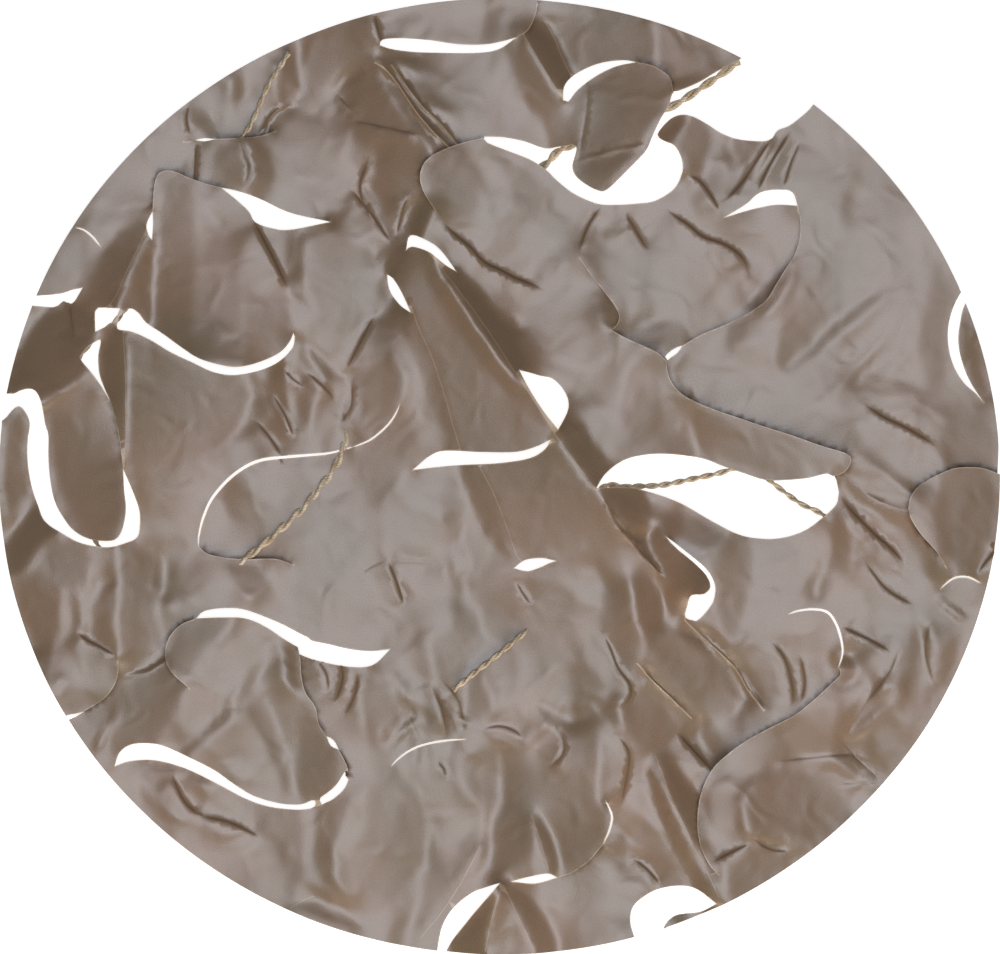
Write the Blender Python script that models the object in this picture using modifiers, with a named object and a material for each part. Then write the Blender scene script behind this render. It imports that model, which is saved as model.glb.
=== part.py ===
"""Camouflage net: one incised cloth panel laid loosely over the knotted cords that carry it.

The panel lies on the plane z = 0 with its centre over the origin. All tables are in millimetres,
x to the right and y away from the viewer, and are turned into metres where the meshes are made.
"""

import math

import bmesh
import bpy
from mathutils import Matrix, Vector
from mathutils.geometry import delaunay_2d_cdt

MM = 0.001

# Cloth
PANEL_LENGTH = 340.0
PANEL_WIDTH = 324.6
CLOTH_THICKNESS = 1.0
GRID = 8.0
EDGE_STEP = 7.0
GRID_CLEARANCE = 0.62 * GRID
MERGE_DISTANCE = 0.02

# Netting cord
CORD_DIAMETER = 2.7
CORD_STEP = 8.0
CORD_OVER_CLOTH = CLOTH_THICKNESS + 0.35
CORD_RAMP_START = 2.2
CORD_RAMP = 11.0
KNOT_RADIUS = 2.9
KNOT_HEIGHT = 4.2
KNOT_LIFT = 0.15
KNOT_TURN = 17.0
COVER_GAP = 0.8
COVER_FLAT = 1.5
COVER_REACH = 13.0
PRESSED_FLAT = 6.0
PRESSED_REACH = 8.0

# Slack of the cloth between its folds
TIP_SHARPNESS = 0.6
SLACK_BASE = 0.3
SLACK_WAVES = (
    # height, wavelength, direction in degrees, phase
    (1.3, 118.0, 20.0, 0.4),
    (1.1, 83.0, 112.0, 2.1),
    (0.9, 61.0, 64.0, 4.4),
)
FLAT_PULL = 6.0
FLAT_REACH = 16.0
FLAT_REST = (
    # where the smooth cloth lies flat on the ground: x, y, flat radius
    (122.0, 52.0, 22.0),
    (-62.0, -4.0, 9.0),
    (-36.0, -62.0, 9.0),
    (-134.0, -70.0, 9.0),
    (118.0, -72.0, 12.0),
    (-44.0, 112.0, 7.0),
)

# Incisions that stand open. Both lips run from the first tip to the last one, and the lifts say
# how high each lip stands at its middle.
OPENINGS = {
    "notch_and_top_hole": {
        "far": ((88.5, 146.5), (82, 142), (75, 138), (68, 134), (61, 130.5), (58, 125.5),
                (54.5, 121), (49.5, 110.5), (44.5, 105), (36.5, 97.5), (33, 96.5), (28.5, 99.5),
                (24.5, 105.5), (26, 112), (15.5, 111.5), (8.5, 113.5), (-5.5, 115.5)),
        "near": ((-5.5, 115.5), (3.5, 110.5), (10.5, 107.5), (16, 104), (25.5, 96), (33, 92.5),
                 (46.5, 92.5), (55, 95), (62, 103.5), (59.5, 112.5), (55, 115), (57, 120),
                 (62.5, 123), (70, 120), (82, 114.5), (91.5, 114), (94.5, 117.5), (103, 122.5),
                 (106.5, 126.5), (112.5, 133)),
        "far_lift": 4.0, "near_lift": 0.0, "reach": 16.0,
    },
    "crescent_above_hanging_lobe": {
        "far": ((21.5, 128.5), (22, 133), (29.5, 138.5), (36, 141), (46.5, 140.5)),
        "near": ((21.5, 128.5), (26.5, 131.5), (33, 136), (46.5, 140.5)),
        "far_lift": 2.0, "near_lift": 0.0, "reach": 12.0,
    },
    "top_edge_crescent": {
        "far": ((-40.5, 147), (-31, 149.5), (-6.5, 147.5), (6, 149)),
        "near": ((-40.5, 147), (-23.5, 144), (-3, 144.5), (6, 149)),
        "far_lift": 3.0, "near_lift": 0.0, "reach": 14.0,
    },
    "upper_left_crescent": {
        "far": ((-94.5, 98), (-88, 96.5), (-71, 89.5), (-57.5, 86.5)),
        "near": ((-94.5, 98), (-88, 93), (-83, 86.5), (-71, 84), (-57.5, 86.5)),
        "far_lift": 0.0, "near_lift": 3.0, "reach": 12.0,
    },
    "crescent_below_notch": {
        "far": ((76.5, 88), (88.5, 96.5), (95.5, 97.5), (101, 92)),
        "near": ((76.5, 88), (85, 90.5), (93.5, 92.5), (101, 92)),
        "far_lift": 0.0, "near_lift": 2.0, "reach": 12.0,
    },
    "pleat_head_crescent": {
        "far": ((-31.5, 77), (-30.5, 81.5), (-25.5, 80.5), (-20, 77), (-15, 69.5)),
        "near": ((-31.5, 77), (-25.5, 76.5), (-19.5, 71.5), (-15, 69.5)),
        "far_lift": 2.0, "near_lift": 0.0, "reach": 10.0,
    },
    "long_left_crescent": {
        "far": ((-129, 54), (-125.5, 56.5), (-121, 54), (-107.5, 43.5), (-93.5, 37.5),
                (-84, 37.5), (-74.5, 42), (-69.5, 48.5)),
        "near": ((-129, 54), (-128.5, 49.5), (-118.5, 46.5), (-104, 38.5), (-90, 34.5),
                 (-78, 37), (-71, 42.5), (-69.5, 48.5)),
        "far_lift": 3.0, "near_lift": 0.0, "reach": 14.0,
    },
    "left_window_above_cord": {
        "far": ((-137, 49), (-137, 56), (-134.5, 57.5), (-127.5, 57)),
        "near": ((-137, 49), (-131, 52), (-127.5, 57)),
        "far_lift": 0.0, "near_lift": 0.0, "reach": 8.0,
    },
    "left_window_below_cord": {
        "far": ((-142.5, 40.5), (-140, 44), (-135.5, 46.5), (-136, 35), (-132, 25.5)),
        "near": ((-142.5, 40.5), (-138.5, 35), (-132, 25.5)),
        "far_lift": 4.0, "near_lift": 0.0, "reach": 9.0,
    },
    "left_edge_slit": {
        "far": ((-163, 61.5), (-149, 62), (-141.5, 64)),
        "near": ((-163, 57.5), (-150, 57.5), (-144, 59), (-141.5, 64)),
        "far_lift": 0.0, "near_lift": 2.0, "reach": 10.0,
    },
    "left_tongue_slit": {
        "far": ((-175, 28.5), (-160, 29.5), (-155.5, 25.5), (-153, 14), (-152.5, -2),
                (-147.5, -14.5), (-139, -21), (-133, -22), (-129, -20.5), (-126.8, -11),
                (-128, -2), (-128, 4.5)),
        "near": ((-175, 16), (-168.5, 19), (-163.5, 24), (-159.5, 18), (-160.5, 5),
                 (-157, -9.5), (-149, -19), (-142, -22.5), (-133, -24), (-123.5, -21),
                 (-122, -11.5), (-126, -2), (-128, 4.5)),
        "far_lift": 0.0, "near_lift": 4.0, "reach": 12.0,
    },
    "pleat_side_hole": {
        "far": ((6.5, 36), (14, 34), (20.5, 31), (24, 26), (23, 20), (20, 16)),
        "near": ((6.5, 36), (10.5, 28.5), (15.5, 21.5), (20, 16)),
        "far_lift": 0.0, "near_lift": 5.0, "reach": 14.0,
    },
    "middle_crescent": {
        "far": ((-29.5, 2), (-23.5, 7), (-18.5, 8.5), (5.5, 8.5), (14, 10.5), (17, 13)),
        "near": ((-29.5, 2), (-13.5, 4), (0, 4.5), (10.5, 6.5), (17, 13)),
        "far_lift": 3.0, "near_lift": 0.0, "reach": 12.0,
    },
    "small_middle_crescent": {
        "far": ((5, -31), (8.5, -28.5), (15.5, -27.5), (19, -28.5)),
        "near": ((5, -31), (10.5, -32), (15.5, -31), (19, -28.5)),
        "far_lift": 2.0, "near_lift": 0.0, "reach": 9.0,
    },
    "large_hole": {
        "far": ((33, -4), (37.5, 2), (46, 7), (56.5, 7.5), (75.5, 3.5), (90.5, -1), (107.5, -0.5),
                (112, 1), (115.5, -5)),
        "near": ((33, -4), (51, -5.5), (61.5, -9), (71.5, -15), (80, -19), (87, -21),
                 (95.5, -21), (104, -18), (110.5, -13), (115.5, -5)),
        "far_lift": 6.0, "near_lift": 0.0, "reach": 16.0,
    },
    "lower_left_crescent": {
        "far": ((-103, -48), (-100, -46), (-91.5, -45), (-85, -45.5), (-64.5, -55),
                (-52.5, -58.5), (-37, -58.5)),
        "near": ((-103, -48), (-88, -48), (-79.5, -50.5), (-68, -58.5), (-61, -62.5),
                 (-51, -64.5), (-42.5, -63.5), (-37, -58.5)),
        "far_lift": 0.0, "near_lift": 3.0, "reach": 12.0,
    },
    "bottom_left_crescent": {
        "far": ((-130.5, -98), (-129, -93), (-124, -91), (-117, -91), (-96.5, -100),
                (-83, -108.5), (-70, -111), (-59, -107), (-52, -99.5)),
        "near": ((-130.5, -98), (-117, -96.5), (-107, -99), (-86.5, -109.5), (-73, -113),
                 (-60.5, -111.5), (-52, -104), (-52, -99.5)),
        "far_lift": 3.0, "near_lift": 0.0, "reach": 12.0,
    },
    "bottom_crescent": {
        "far": ((3.5, -137), (10.5, -135.5), (16.5, -135), (19.5, -136)),
        "near": ((3.5, -137), (12, -138.5), (19.5, -136)),
        "far_lift": 2.0, "near_lift": 0.0, "reach": 8.0,
    },
    "bottom_edge_opening": {
        "far": ((-25.5, -173), (-20, -159.5), (-19, -152.5), (-15, -145.5), (-8.5, -141.5),
                (-0.5, -138.5)),
        "near": ((-21, -173), (-18, -161), (-10, -151), (-3, -143.5), (-0.5, -138.5)),
        "far_lift": 2.0, "near_lift": 0.0, "reach": 10.0,
    },
    "bottom_right_hole": {
        "far": ((47, -164.5), (46, -156), (45, -147.5), (48, -142.5), (54.5, -139),
                (63, -138.5), (68, -140.5), (72.5, -144.5)),
        "near": ((52, -164.5), (55.5, -154), (58, -150.5), (61.5, -149), (68, -148), (72.5, -144.5)),
        "far_lift": 0.0, "near_lift": 0.0, "reach": 8.0,
    },
    "lobe_end_hole": {
        "far": ((56.5, -20), (64, -27.5), (71.5, -34), (73.5, -39.5), (71, -44.5), (67, -49)),
        "near": ((56.5, -20), (61.5, -27), (67, -31.5), (70.5, -35), (70, -39.5), (64.5, -41),
                 (63, -47), (67, -49)),
        "far_lift": 2.0, "near_lift": 0.0, "reach": 10.0,
    },
    "right_edge_slit": {
        "far": ((165, 67), (157, 62.5), (152.5, 52), (152.5, 40), (157, 31), (164, 25.5)),
        "near": ((170, 65), (158.5, 58), (156, 46), (158, 36), (164, 25.5)),
        "far_lift": 0.0, "near_lift": 0.0, "reach": 8.0,
    },
}

# Incisions that stand open by a cord's breadth only: the line runs from tip to tip, and the
# cloth on its left and right hand stands at the two lifts.
SLITS = {
    "tongue_under_cord": {
        "line": ((-34.5, 23.5), (-39, 16.5), (-44, 12.5), (-52.5, 9), (-68, 7.5), (-78, 6.5),
                 (-86.5, 4), (-94.5, -2), (-99.5, -9.5), (-102, -18), (-100.5, -25),
                 (-92, -28), (-82, -28.5), (-70.5, -31)),
        "left_lift": 0.0, "right_lift": 5.2, "width": 1.9, "reach": 13.0,
    },
    "slit_under_edge_cord": {
        "line": ((-110, 113.5), (-97.5, 115.5), (-85, 116), (-75, 118)),
        "left_lift": 0.0, "right_lift": 5.6, "width": 1.9, "reach": 13.0,
    },
}

# Folds: soft ridges, with the height at each point and how far the cloth falls away on the left
# and the right hand of the line.
FOLDS = {
    "main_pleat": {
        "line": ((-27.5, 78, 4), (-10, 53, 11), (7, 31, 12), (20, 12, 11), (32, -5, 9),
                 (53, -32, 8), (65, -49, 3)),
        "left": 7.0, "right": 30.0,
    },
    "facet_edge": {
        "line": ((-30, 55, 1), (-24, 43, 4), (-17, 22, 5), (-6, 4, 5), (0, -11, 4), (6, -29, 1)),
        "left": 12.0, "right": 9.0,
    },
    "flap_edge": {
        "line": ((38, 49, 2), (56, 40, 5), (68, 25, 8), (82, 18, 8), (99, 14, 7), (117, 8, 3)),
        "left": 6.0, "right": 22.0,
    },
    "top_pocket": {
        "line": ((-42, 139, 2), (-34, 132, 6), (-27, 123, 7), (-15, 113, 3)),
        "left": 9.0, "right": 20.0,
    },
    "top_pleat": {
        "line": ((10, 152, 3), (18, 139, 5), (23, 130, 2)),
        "left": 5.0, "right": 9.0,
    },
    "hanging_lobe_fold": {
        "line": ((31, 133, 2), (28, 118, 5), (26, 106, 2)),
        "left": 10.0, "right": 7.0,
    },
    "notch_fold": {
        "line": ((95, 118, 3), (86, 104, 6), (77, 93, 2)),
        "left": 7.0, "right": 12.0,
    },
    "left_upright_fold": {
        "line": ((-125, 90, 2), (-127.5, 62, 5), (-128, 30, 7), (-126, 8, 3)),
        "left": 22.0, "right": 5.0,
    },
    "left_band": {
        "line": ((-117, 98, 3), (-130, 75, 6), (-140, 62, 3)),
        "left": 14.0, "right": 14.0,
    },
    "tongue_root": {
        "line": ((-163, 46, 3), (-148, 35, 4), (-135, 45, 2)),
        "left": 9.0, "right": 9.0,
    },
    "upper_lobe_edge": {
        "line": ((-118, 102, 2), (-112, 104, 5), (-100, 101, 5), (-84, 84, 4), (-73, 65, 1)),
        "left": 4.0, "right": 20.0,
    },
    "upper_patch_edge": {
        "line": ((-25, 98, 3), (-20, 107, 5), (-10, 112, 4), (-5, 113, 1)),
        "left": 5.0, "right": 18.0,
    },
    "patch_lower_edge": {
        "line": ((-22, 85, 2), (-10, 75, 4), (0, 70, 3), (22, 62, 2), (35, 61, 4), (40, 52, 1)),
        "left": 14.0, "right": 5.0,
    },
    "right_crease": {
        "line": ((117, -9, 1), (125, -18, 3), (137, -28, 1)),
        "left": 8.0, "right": 8.0,
    },
    "right_lobe_edge": {
        "line": ((140, -8, 1), (143, 0, 3), (158, 2, 3), (170, -1, 1)),
        "left": 12.0, "right": 8.0,
    },
    "twin_fold": {
        "line": ((67, -50, 2), (80, -62, 4), (90, -80, 1)),
        "left": 7.0, "right": 7.0,
    },
    "lower_pleat": {
        "line": ((53, -95, 2), (62, -114, 6), (70, -132, 7), (74, -144, 3)),
        "left": 5.0, "right": 20.0,
    },
    "lower_lobe_edge": {
        "line": ((120, -67, 1), (108, -80, 4), (88, -91, 4), (72, -102, 4), (67, -118, 2)),
        "left": 12.0, "right": 8.0,
    },
    "left_lobe_edge": {
        "line": ((-103, -50, 2), (-112, -58, 4), (-106, -71, 2)),
        "left": 8.0, "right": 8.0,
    },
    "left_lower_crease": {
        "line": ((-130, -24, 1), (-130, -45, 3), (-131, -62, 1)),
        "left": 9.0, "right": 9.0,
    },
    "tent_left": {
        "line": ((1, -139, 4), (-2, -150, 5), (-5, -161, 5)),
        "left": 6.0, "right": 6.0,
    },
    "tent_right": {
        "line": ((1, -139, 4), (7, -150, 5), (12, -161, 4)),
        "left": 6.0, "right": 6.0,
    },
    "bottom_crease": {
        "line": ((11, -114, 1), (14, -125, 4), (16.5, -134, 3)),
        "left": 8.0, "right": 8.0,
    },
    "swirl": {
        "line": ((-28, -72, 1), (-20, -80, 3), (-12, -86, 1)),
        "left": 9.0, "right": 9.0,
    },
}

# Netting: each cord's route and its lift off the ground, which lets one cord cross another in a
# knot. A cord stays under the cloth except on its stretch "over".
CORDS = {
    "left_cord": {
        "route": ((-71.5, 144), (-79, 132), (-86.5, 116.5), (-104, 98), (-119, 76), (-127.5, 56.5),
                  (-141, 43), (-147, 30), (-144, 6), (-138, -20), (-128, -36), (-119, -49)),
        "over": (0, 2), "lift": 0.05,
    },
    "main_cord": {
        "route": ((86, 143.5), (70, 133), (58, 125.5), (42, 119), (27, 113.5), (20, 110.5),
                  (14, 105), (-6.5, 94), (-24, 88), (-36, 79), (-44, 60), (-50, 32),
                  (-53.5, 8.5), (-64.5, -8), (-74.5, -18), (-86, -27.5), (-104, -40),
                  (-119, -49), (-124, -72), (-136, -91)),
        "over": (12, 15), "lift": 0.25,
    },
    "crossing_cord": {
        "route": ((-46.5, 155), (-43.5, 131), (-27, 107.5), (-6.5, 94), (20, 77), (44, 53),
                  (65, 29), (84.5, 6.5), (91.5, -1), (102, -9), (111.5, -14), (136, -32),
                  (157, -48)),
        "over": None, "lift": 0.75,
    },
    "right_cord": {
        "route": ((137, 93), (119, 77), (102, 46), (90, 20), (84.5, 6.5), (77.5, 2), (65, -1),
                  (54.5, -3), (43.5, -3.5), (34, -5), (28, -28), (15.5, -46), (3, -57.5),
                  (-9.5, -67.5), (-23.5, -79), (-41, -95), (-60, -121), (-82, -139)),
        "over": None, "lift": 0.05,
    },
    "lower_cord": {
        "route": ((-119, -49), (-98, -66), (-68, -82), (-46, -80), (-23.5, -79), (8, -93),
                  (35, -105), (62, -121), (84, -136)),
        "over": None, "lift": 0.5,
    },
}
KNOTS = ((-6.5, 94), (84.5, 6.5), (-119, -49), (-23.5, -79))

CLOTH_COLOUR = (0.262, 0.215, 0.178, 1.0)
CORD_COLOUR = (0.42, 0.32, 0.21, 1.0)


def clamp(value):
    return min(1.0, max(0.0, value))


def ease(value):
    value = clamp(value)
    return value * value * (3.0 - 2.0 * value)


def smooth_line(points, step):
    """Points about one step apart on a smooth curve through the given ones."""
    points = [Vector(point) for point in points]
    ends = [2 * points[0] - points[1]] + points + [2 * points[-1] - points[-2]]
    line = [points[0]]
    for before, start, end, after in zip(ends, ends[1:], ends[2:], ends[3:]):
        count = max(1, round((end - start).length / step))
        for i in range(1, count + 1):
            t = i / count
            line.append(
                0.5 * (2 * start + (end - before) * t
                       + (2 * before - 5 * start + 4 * end - after) * t * t
                       + (3 * start - before - 3 * end + after) * t * t * t)
            )
    return line


def nearest(point, line):
    """Distance from the point to the line, how far along it lies (0 to 1), and its side."""
    best = (1e9, 0.0, 1.0)
    last = len(line) - 1
    for i in range(last):
        start, along = line[i].xy, (line[i + 1] - line[i]).xy
        share = clamp((point - start).dot(along) / along.length_squared)
        away = point - start - share * along
        if away.length < best[0]:
            best = (away.length, (i + share) / last, along.cross(away))
    return best


def value_on(line, share, column):
    place = share * (len(line) - 1)
    first = min(int(place), len(line) - 2)
    return line[first][column] + (line[first + 1][column] - line[first][column]) * (place - first)


def inside(point, polygon):
    found = False
    for a, b in zip(polygon, polygon[1:] + polygon[:1]):
        if (a.y > point.y) != (b.y > point.y):
            if point.x < a.x + (point.y - a.y) * (b.x - a.x) / (b.y - a.y):
                found = not found
    return found


def slit_lips(slit):
    """The two sides of a narrow slit, which close at its tips."""
    line = smooth_line(slit["line"], EDGE_STEP)
    left, right = [line[0]], [line[0]]
    for before, here, after in zip(line, line[1:], line[2:]):
        across = (after - before).orthogonal().normalized() * slit["width"] / 2
        left.append(here + across)
        right.append(here - across)
    return left + [line[-1]], right + [line[-1]]


def cloth_lips():
    """Every incision as its two lips, with their lifts and reach."""
    lips = []
    for gap in OPENINGS.values():
        far, near = smooth_line(gap["far"], EDGE_STEP), smooth_line(gap["near"], EDGE_STEP)
        if (far[-1] - near[0]).length < (far[0] - near[0]).length:
            near.reverse()
        lips.append((far, near, gap["far_lift"], gap["near_lift"], gap["reach"]))
    for slit in SLITS.values():
        left, right = slit_lips(slit)
        lips.append((left, right, slit["left_lift"], slit["right_lift"], slit["reach"]))
    return lips


def stretch_over(cord):
    """Plan line of the stretch on which a cord lies on the cloth."""
    first, last = cord["over"]
    return smooth_line(cord["route"][first:last + 1], CORD_STEP)


def cord_lines():
    """Each cord's centre line in space, raised where it runs over the cloth."""
    lines = {}
    high = CORD_OVER_CLOTH + CORD_DIAMETER / 2
    for name, cord in CORDS.items():
        low = cord["lift"] + CORD_DIAMETER / 2
        lines[name] = []
        for point in smooth_line(cord["route"], CORD_STEP):
            rise = 0.0
            if cord["over"]:
                beyond = nearest(point, stretch_over(cord))[0] - CORD_RAMP_START
                rise = 1.0 - ease(beyond / CORD_RAMP)
            lines[name].append(Vector((point.x, point.y, low + (high - low) * rise)))
    return lines


def over_patches():
    """Each stretch on which a cord lies on the cloth, with the outline of the cloth under it."""
    slit = smooth_line(SLITS["slit_under_edge_cord"]["line"], EDGE_STEP)
    patches = {
        "main_cord": smooth_line(SLITS["tongue_under_cord"]["line"], EDGE_STEP),
        "left_cord": [Vector((-120, 165))] + slit + [Vector((-60, 122)), Vector((-57, 165))],
    }
    return [(stretch_over(CORDS[name]), patch) for name, patch in patches.items()]


class Drape:
    """Height of the cloth's underside over any point of the ground."""

    def __init__(self):
        self.lips = cloth_lips()
        self.folds = [
            (smooth_line(fold["line"], EDGE_STEP), fold["left"], fold["right"])
            for fold in FOLDS.values()
        ]
        self.cords = list(cord_lines().values())
        self.knots = [Vector(knot) for knot in KNOTS]
        self.over = over_patches()

    def slack(self, point):
        height = SLACK_BASE
        for rise, wavelength, degrees, phase in SLACK_WAVES:
            way = Vector((math.cos(math.radians(degrees)), math.sin(math.radians(degrees))))
            height += rise * math.sin(2 * math.pi * point.dot(way) / wavelength + phase)
        for x, y, radius in FLAT_REST:
            beyond = (point - Vector((x, y))).length - radius
            height -= FLAT_PULL * (1.0 - ease(beyond / FLAT_REACH))
        return height

    def fold_rise(self, point):
        rise = 0.0
        for line, left, right in self.folds:
            away, share, side = nearest(point, line)
            fall = left if side > 0 else right
            rise = max(rise, value_on(line, share, 2) * (1.0 - ease(away / fall)))
        return rise

    def lip_rise(self, point):
        rise = 0.0
        for far, near, far_lift, near_lift, reach in self.lips:
            far_away, near_away = nearest(point, far), nearest(point, near)
            away, lift = (far_away, far_lift) if far_away[0] < near_away[0] else (near_away, near_lift)
            if lift and away[0] < reach:
                at_tip = math.sin(math.pi * away[1]) ** TIP_SHARPNESS
                rise = max(rise, lift * at_tip * (1.0 - ease(away[0] / reach)))
        return rise

    def cover(self, point):
        """How high the cords hold the cloth up."""
        height = 0.0
        for line in self.cords:
            away, share, _ = nearest(point, line)
            top = value_on(line, share, 2) + CORD_DIAMETER / 2 + COVER_GAP
            height = max(height, top * (1.0 - ease((away - COVER_FLAT) / COVER_REACH)))
        for knot in self.knots:
            away = (point - knot).length
            top = KNOT_HEIGHT + COVER_GAP
            height = max(height, top * (1.0 - ease((away - KNOT_RADIUS) / COVER_REACH)))
        return height

    def height(self, point):
        loose = max(0.0, self.slack(point)) + max(self.fold_rise(point), self.lip_rise(point))
        for line, patch in self.over:
            if inside(point, patch):
                return loose * ease((nearest(point, line)[0] - PRESSED_FLAT) / PRESSED_REACH)
        return max(loose, self.cover(point))


def outline():
    count = round(math.pi * (PANEL_LENGTH + PANEL_WIDTH) / 2 / EDGE_STEP)
    turns = [2 * math.pi * i / count for i in range(count)]
    return [
        Vector((PANEL_LENGTH / 2 * math.cos(turn), PANEL_WIDTH / 2 * math.sin(turn)))
        for turn in turns
    ]


def plan_mesh(drape):
    """The panel cut from a flat plan: points and triangles that follow its edges and folds."""
    edge = outline()
    gaps = [far + near[::-1][1:-1] for far, near, _, _, _ in drape.lips]
    creases = [[point.xy for point in line] for line, _, _ in drape.folds]
    creases += [[point.xy for point in line] for line in drape.cords]
    lines = [edge + edge[:1]] + [gap + gap[:1] for gap in gaps] + creases
    points, edges = [], []
    for line in lines:
        first = len(points)
        points += line
        edges += [(first + i, first + i + 1) for i in range(len(line) - 1)]
    fixed = list(points)
    row_height = GRID * math.sqrt(3) / 2
    for row in range(-int(PANEL_WIDTH / 2 / row_height), int(PANEL_WIDTH / 2 / row_height) + 1):
        for column in range(-int(PANEL_LENGTH / 2 / GRID) - 1, int(PANEL_LENGTH / 2 / GRID) + 2):
            point = Vector(((column + 0.5 * (row % 2)) * GRID, row * row_height))
            if all((point - other).length > GRID_CLEARANCE for other in fixed):
                points.append(point)
    cut = delaunay_2d_cdt(points, edges, [], 0, MERGE_DISTANCE)
    triangles = []
    for face in cut[2]:
        middle = sum((cut[0][i] for i in face), Vector((0.0, 0.0))) / 3
        if inside(middle, edge) and not any(inside(middle, gap) for gap in gaps):
            triangles.append(face)
    return cut[0], triangles


def make_material(name, colour, roughness):
    material = bpy.data.materials.new(name)
    material.use_nodes = True
    shader = material.node_tree.nodes["Principled BSDF"]
    shader.inputs["Base Color"].default_value = colour
    shader.inputs["Roughness"].default_value = roughness
    shader.inputs["Metallic"].default_value = 0.0
    material.diffuse_color = colour
    return material


def make_cloth(collection):
    drape = Drape()
    points, triangles = plan_mesh(drape)
    used = sorted({i for face in triangles for i in face})
    built = bmesh.new()
    corners = {i: built.verts.new(Vector((*points[i], drape.height(points[i]))) * MM) for i in used}
    for face in triangles:
        built.faces.new([corners[i] for i in face])
    built.normal_update()
    if sum(face.normal.z for face in built.faces) < 0:
        bmesh.ops.reverse_faces(built, faces=built.faces)
    mesh = bpy.data.meshes.new("cloth_panel")
    built.to_mesh(mesh)
    built.free()
    cloth = bpy.data.objects.new("cloth_panel", mesh)
    collection.objects.link(cloth)
    solid = cloth.modifiers.new("Thickness", "SOLIDIFY")
    solid.thickness = CLOTH_THICKNESS * MM
    solid.offset = 1.0
    mesh.materials.append(make_material("taupe taffeta", CLOTH_COLOUR, 0.45))
    return cloth


def cord_mesh_object(name, line, collection):
    """A round cord along the line, as a closed mesh."""
    curve = bpy.data.curves.new(name, "CURVE")
    curve.dimensions = "3D"
    curve.bevel_depth = CORD_DIAMETER / 2 * MM
    curve.bevel_resolution = 2
    curve.use_fill_caps = True
    spline = curve.splines.new("POLY")
    spline.points.add(len(line) - 1)
    for slot, point in zip(spline.points, line):
        slot.co = (*(point * MM), 1.0)
    guide = bpy.data.objects.new(name + "_guide", curve)
    collection.objects.link(guide)
    graph = bpy.context.evaluated_depsgraph_get()
    mesh = bpy.data.meshes.new_from_object(guide.evaluated_get(graph))
    bpy.data.objects.remove(guide)
    capped = bmesh.new()
    capped.from_mesh(mesh)
    bmesh.ops.remove_doubles(capped, verts=capped.verts, dist=0.00001)
    bmesh.ops.recalc_face_normals(capped, faces=capped.faces)
    capped.to_mesh(mesh)
    capped.free()
    cord = bpy.data.objects.new(name, mesh)
    collection.objects.link(cord)
    return cord


def knot_object(name, knot, collection):
    built = bmesh.new()
    bmesh.ops.create_uvsphere(built, u_segments=10, v_segments=6, radius=1.0)
    half = KNOT_HEIGHT / 2
    turn = Matrix.Rotation(math.radians(KNOT_TURN), 4, "Z")
    size = Matrix.Diagonal(Vector((KNOT_RADIUS, KNOT_RADIUS, half, 1.0 / MM)))
    place = Matrix.Translation(Vector((knot[0], knot[1], half + KNOT_LIFT)) * MM)
    bmesh.ops.transform(built, matrix=place @ turn @ (size * MM), verts=built.verts)
    mesh = bpy.data.meshes.new(name)
    built.to_mesh(mesh)
    built.free()
    ball = bpy.data.objects.new(name, mesh)
    collection.objects.link(ball)
    return ball


def make_netting(collection, helpers):
    """All cords joined by their knots into one net."""
    pieces = [cord_mesh_object(name, line, helpers) for name, line in cord_lines().items()]
    pieces += [knot_object(f"knot_{i}", knot, helpers) for i, knot in enumerate(KNOTS)]
    netting = bpy.data.objects.new("cord_netting", pieces[0].data)
    collection.objects.link(netting)
    for piece in pieces[1:]:
        joint = netting.modifiers.new(piece.name, "BOOLEAN")
        joint.operation = "UNION"
        joint.solver = "MANIFOLD"
        joint.object = piece
    for piece in pieces:
        piece.hide_render = True
        piece.display_type = "WIRE"
    netting.data.materials.append(make_material("straw cord", CORD_COLOUR, 0.8))
    return netting


def main():
    for old in list(bpy.data.objects):
        bpy.data.objects.remove(old)
    parts = bpy.data.collections.new("camouflage_net")
    helpers = bpy.data.collections.new("net_pieces")
    bpy.context.scene.collection.children.link(parts)
    bpy.context.scene.collection.children.link(helpers)
    helpers.hide_render = True
    make_cloth(parts)
    make_netting(parts, helpers)


main()
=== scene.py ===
import math

import bpy
import bmesh
import numpy as np
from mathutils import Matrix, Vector, noise
from mathutils.geometry import delaunay_2d_cdt


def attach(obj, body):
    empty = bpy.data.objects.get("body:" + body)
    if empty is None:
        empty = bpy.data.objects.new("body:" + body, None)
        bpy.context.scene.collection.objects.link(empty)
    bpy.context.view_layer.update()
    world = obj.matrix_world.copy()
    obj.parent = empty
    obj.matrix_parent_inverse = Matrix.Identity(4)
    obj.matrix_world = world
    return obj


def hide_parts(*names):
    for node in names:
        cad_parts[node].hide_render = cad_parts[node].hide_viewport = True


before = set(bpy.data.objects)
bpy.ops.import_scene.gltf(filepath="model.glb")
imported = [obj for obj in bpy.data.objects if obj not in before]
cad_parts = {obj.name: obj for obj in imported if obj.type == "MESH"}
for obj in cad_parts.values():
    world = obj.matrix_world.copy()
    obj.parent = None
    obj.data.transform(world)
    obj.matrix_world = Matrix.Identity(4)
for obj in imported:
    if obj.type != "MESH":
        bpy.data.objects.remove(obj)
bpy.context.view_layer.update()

mm = 0.001  # every table below is in millimetres, x to the right and y to the back


def smoothStep(value):
    value = np.clip(value, 0.0, 1.0)
    return value * value * (3.0 - 2.0 * value)


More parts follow.
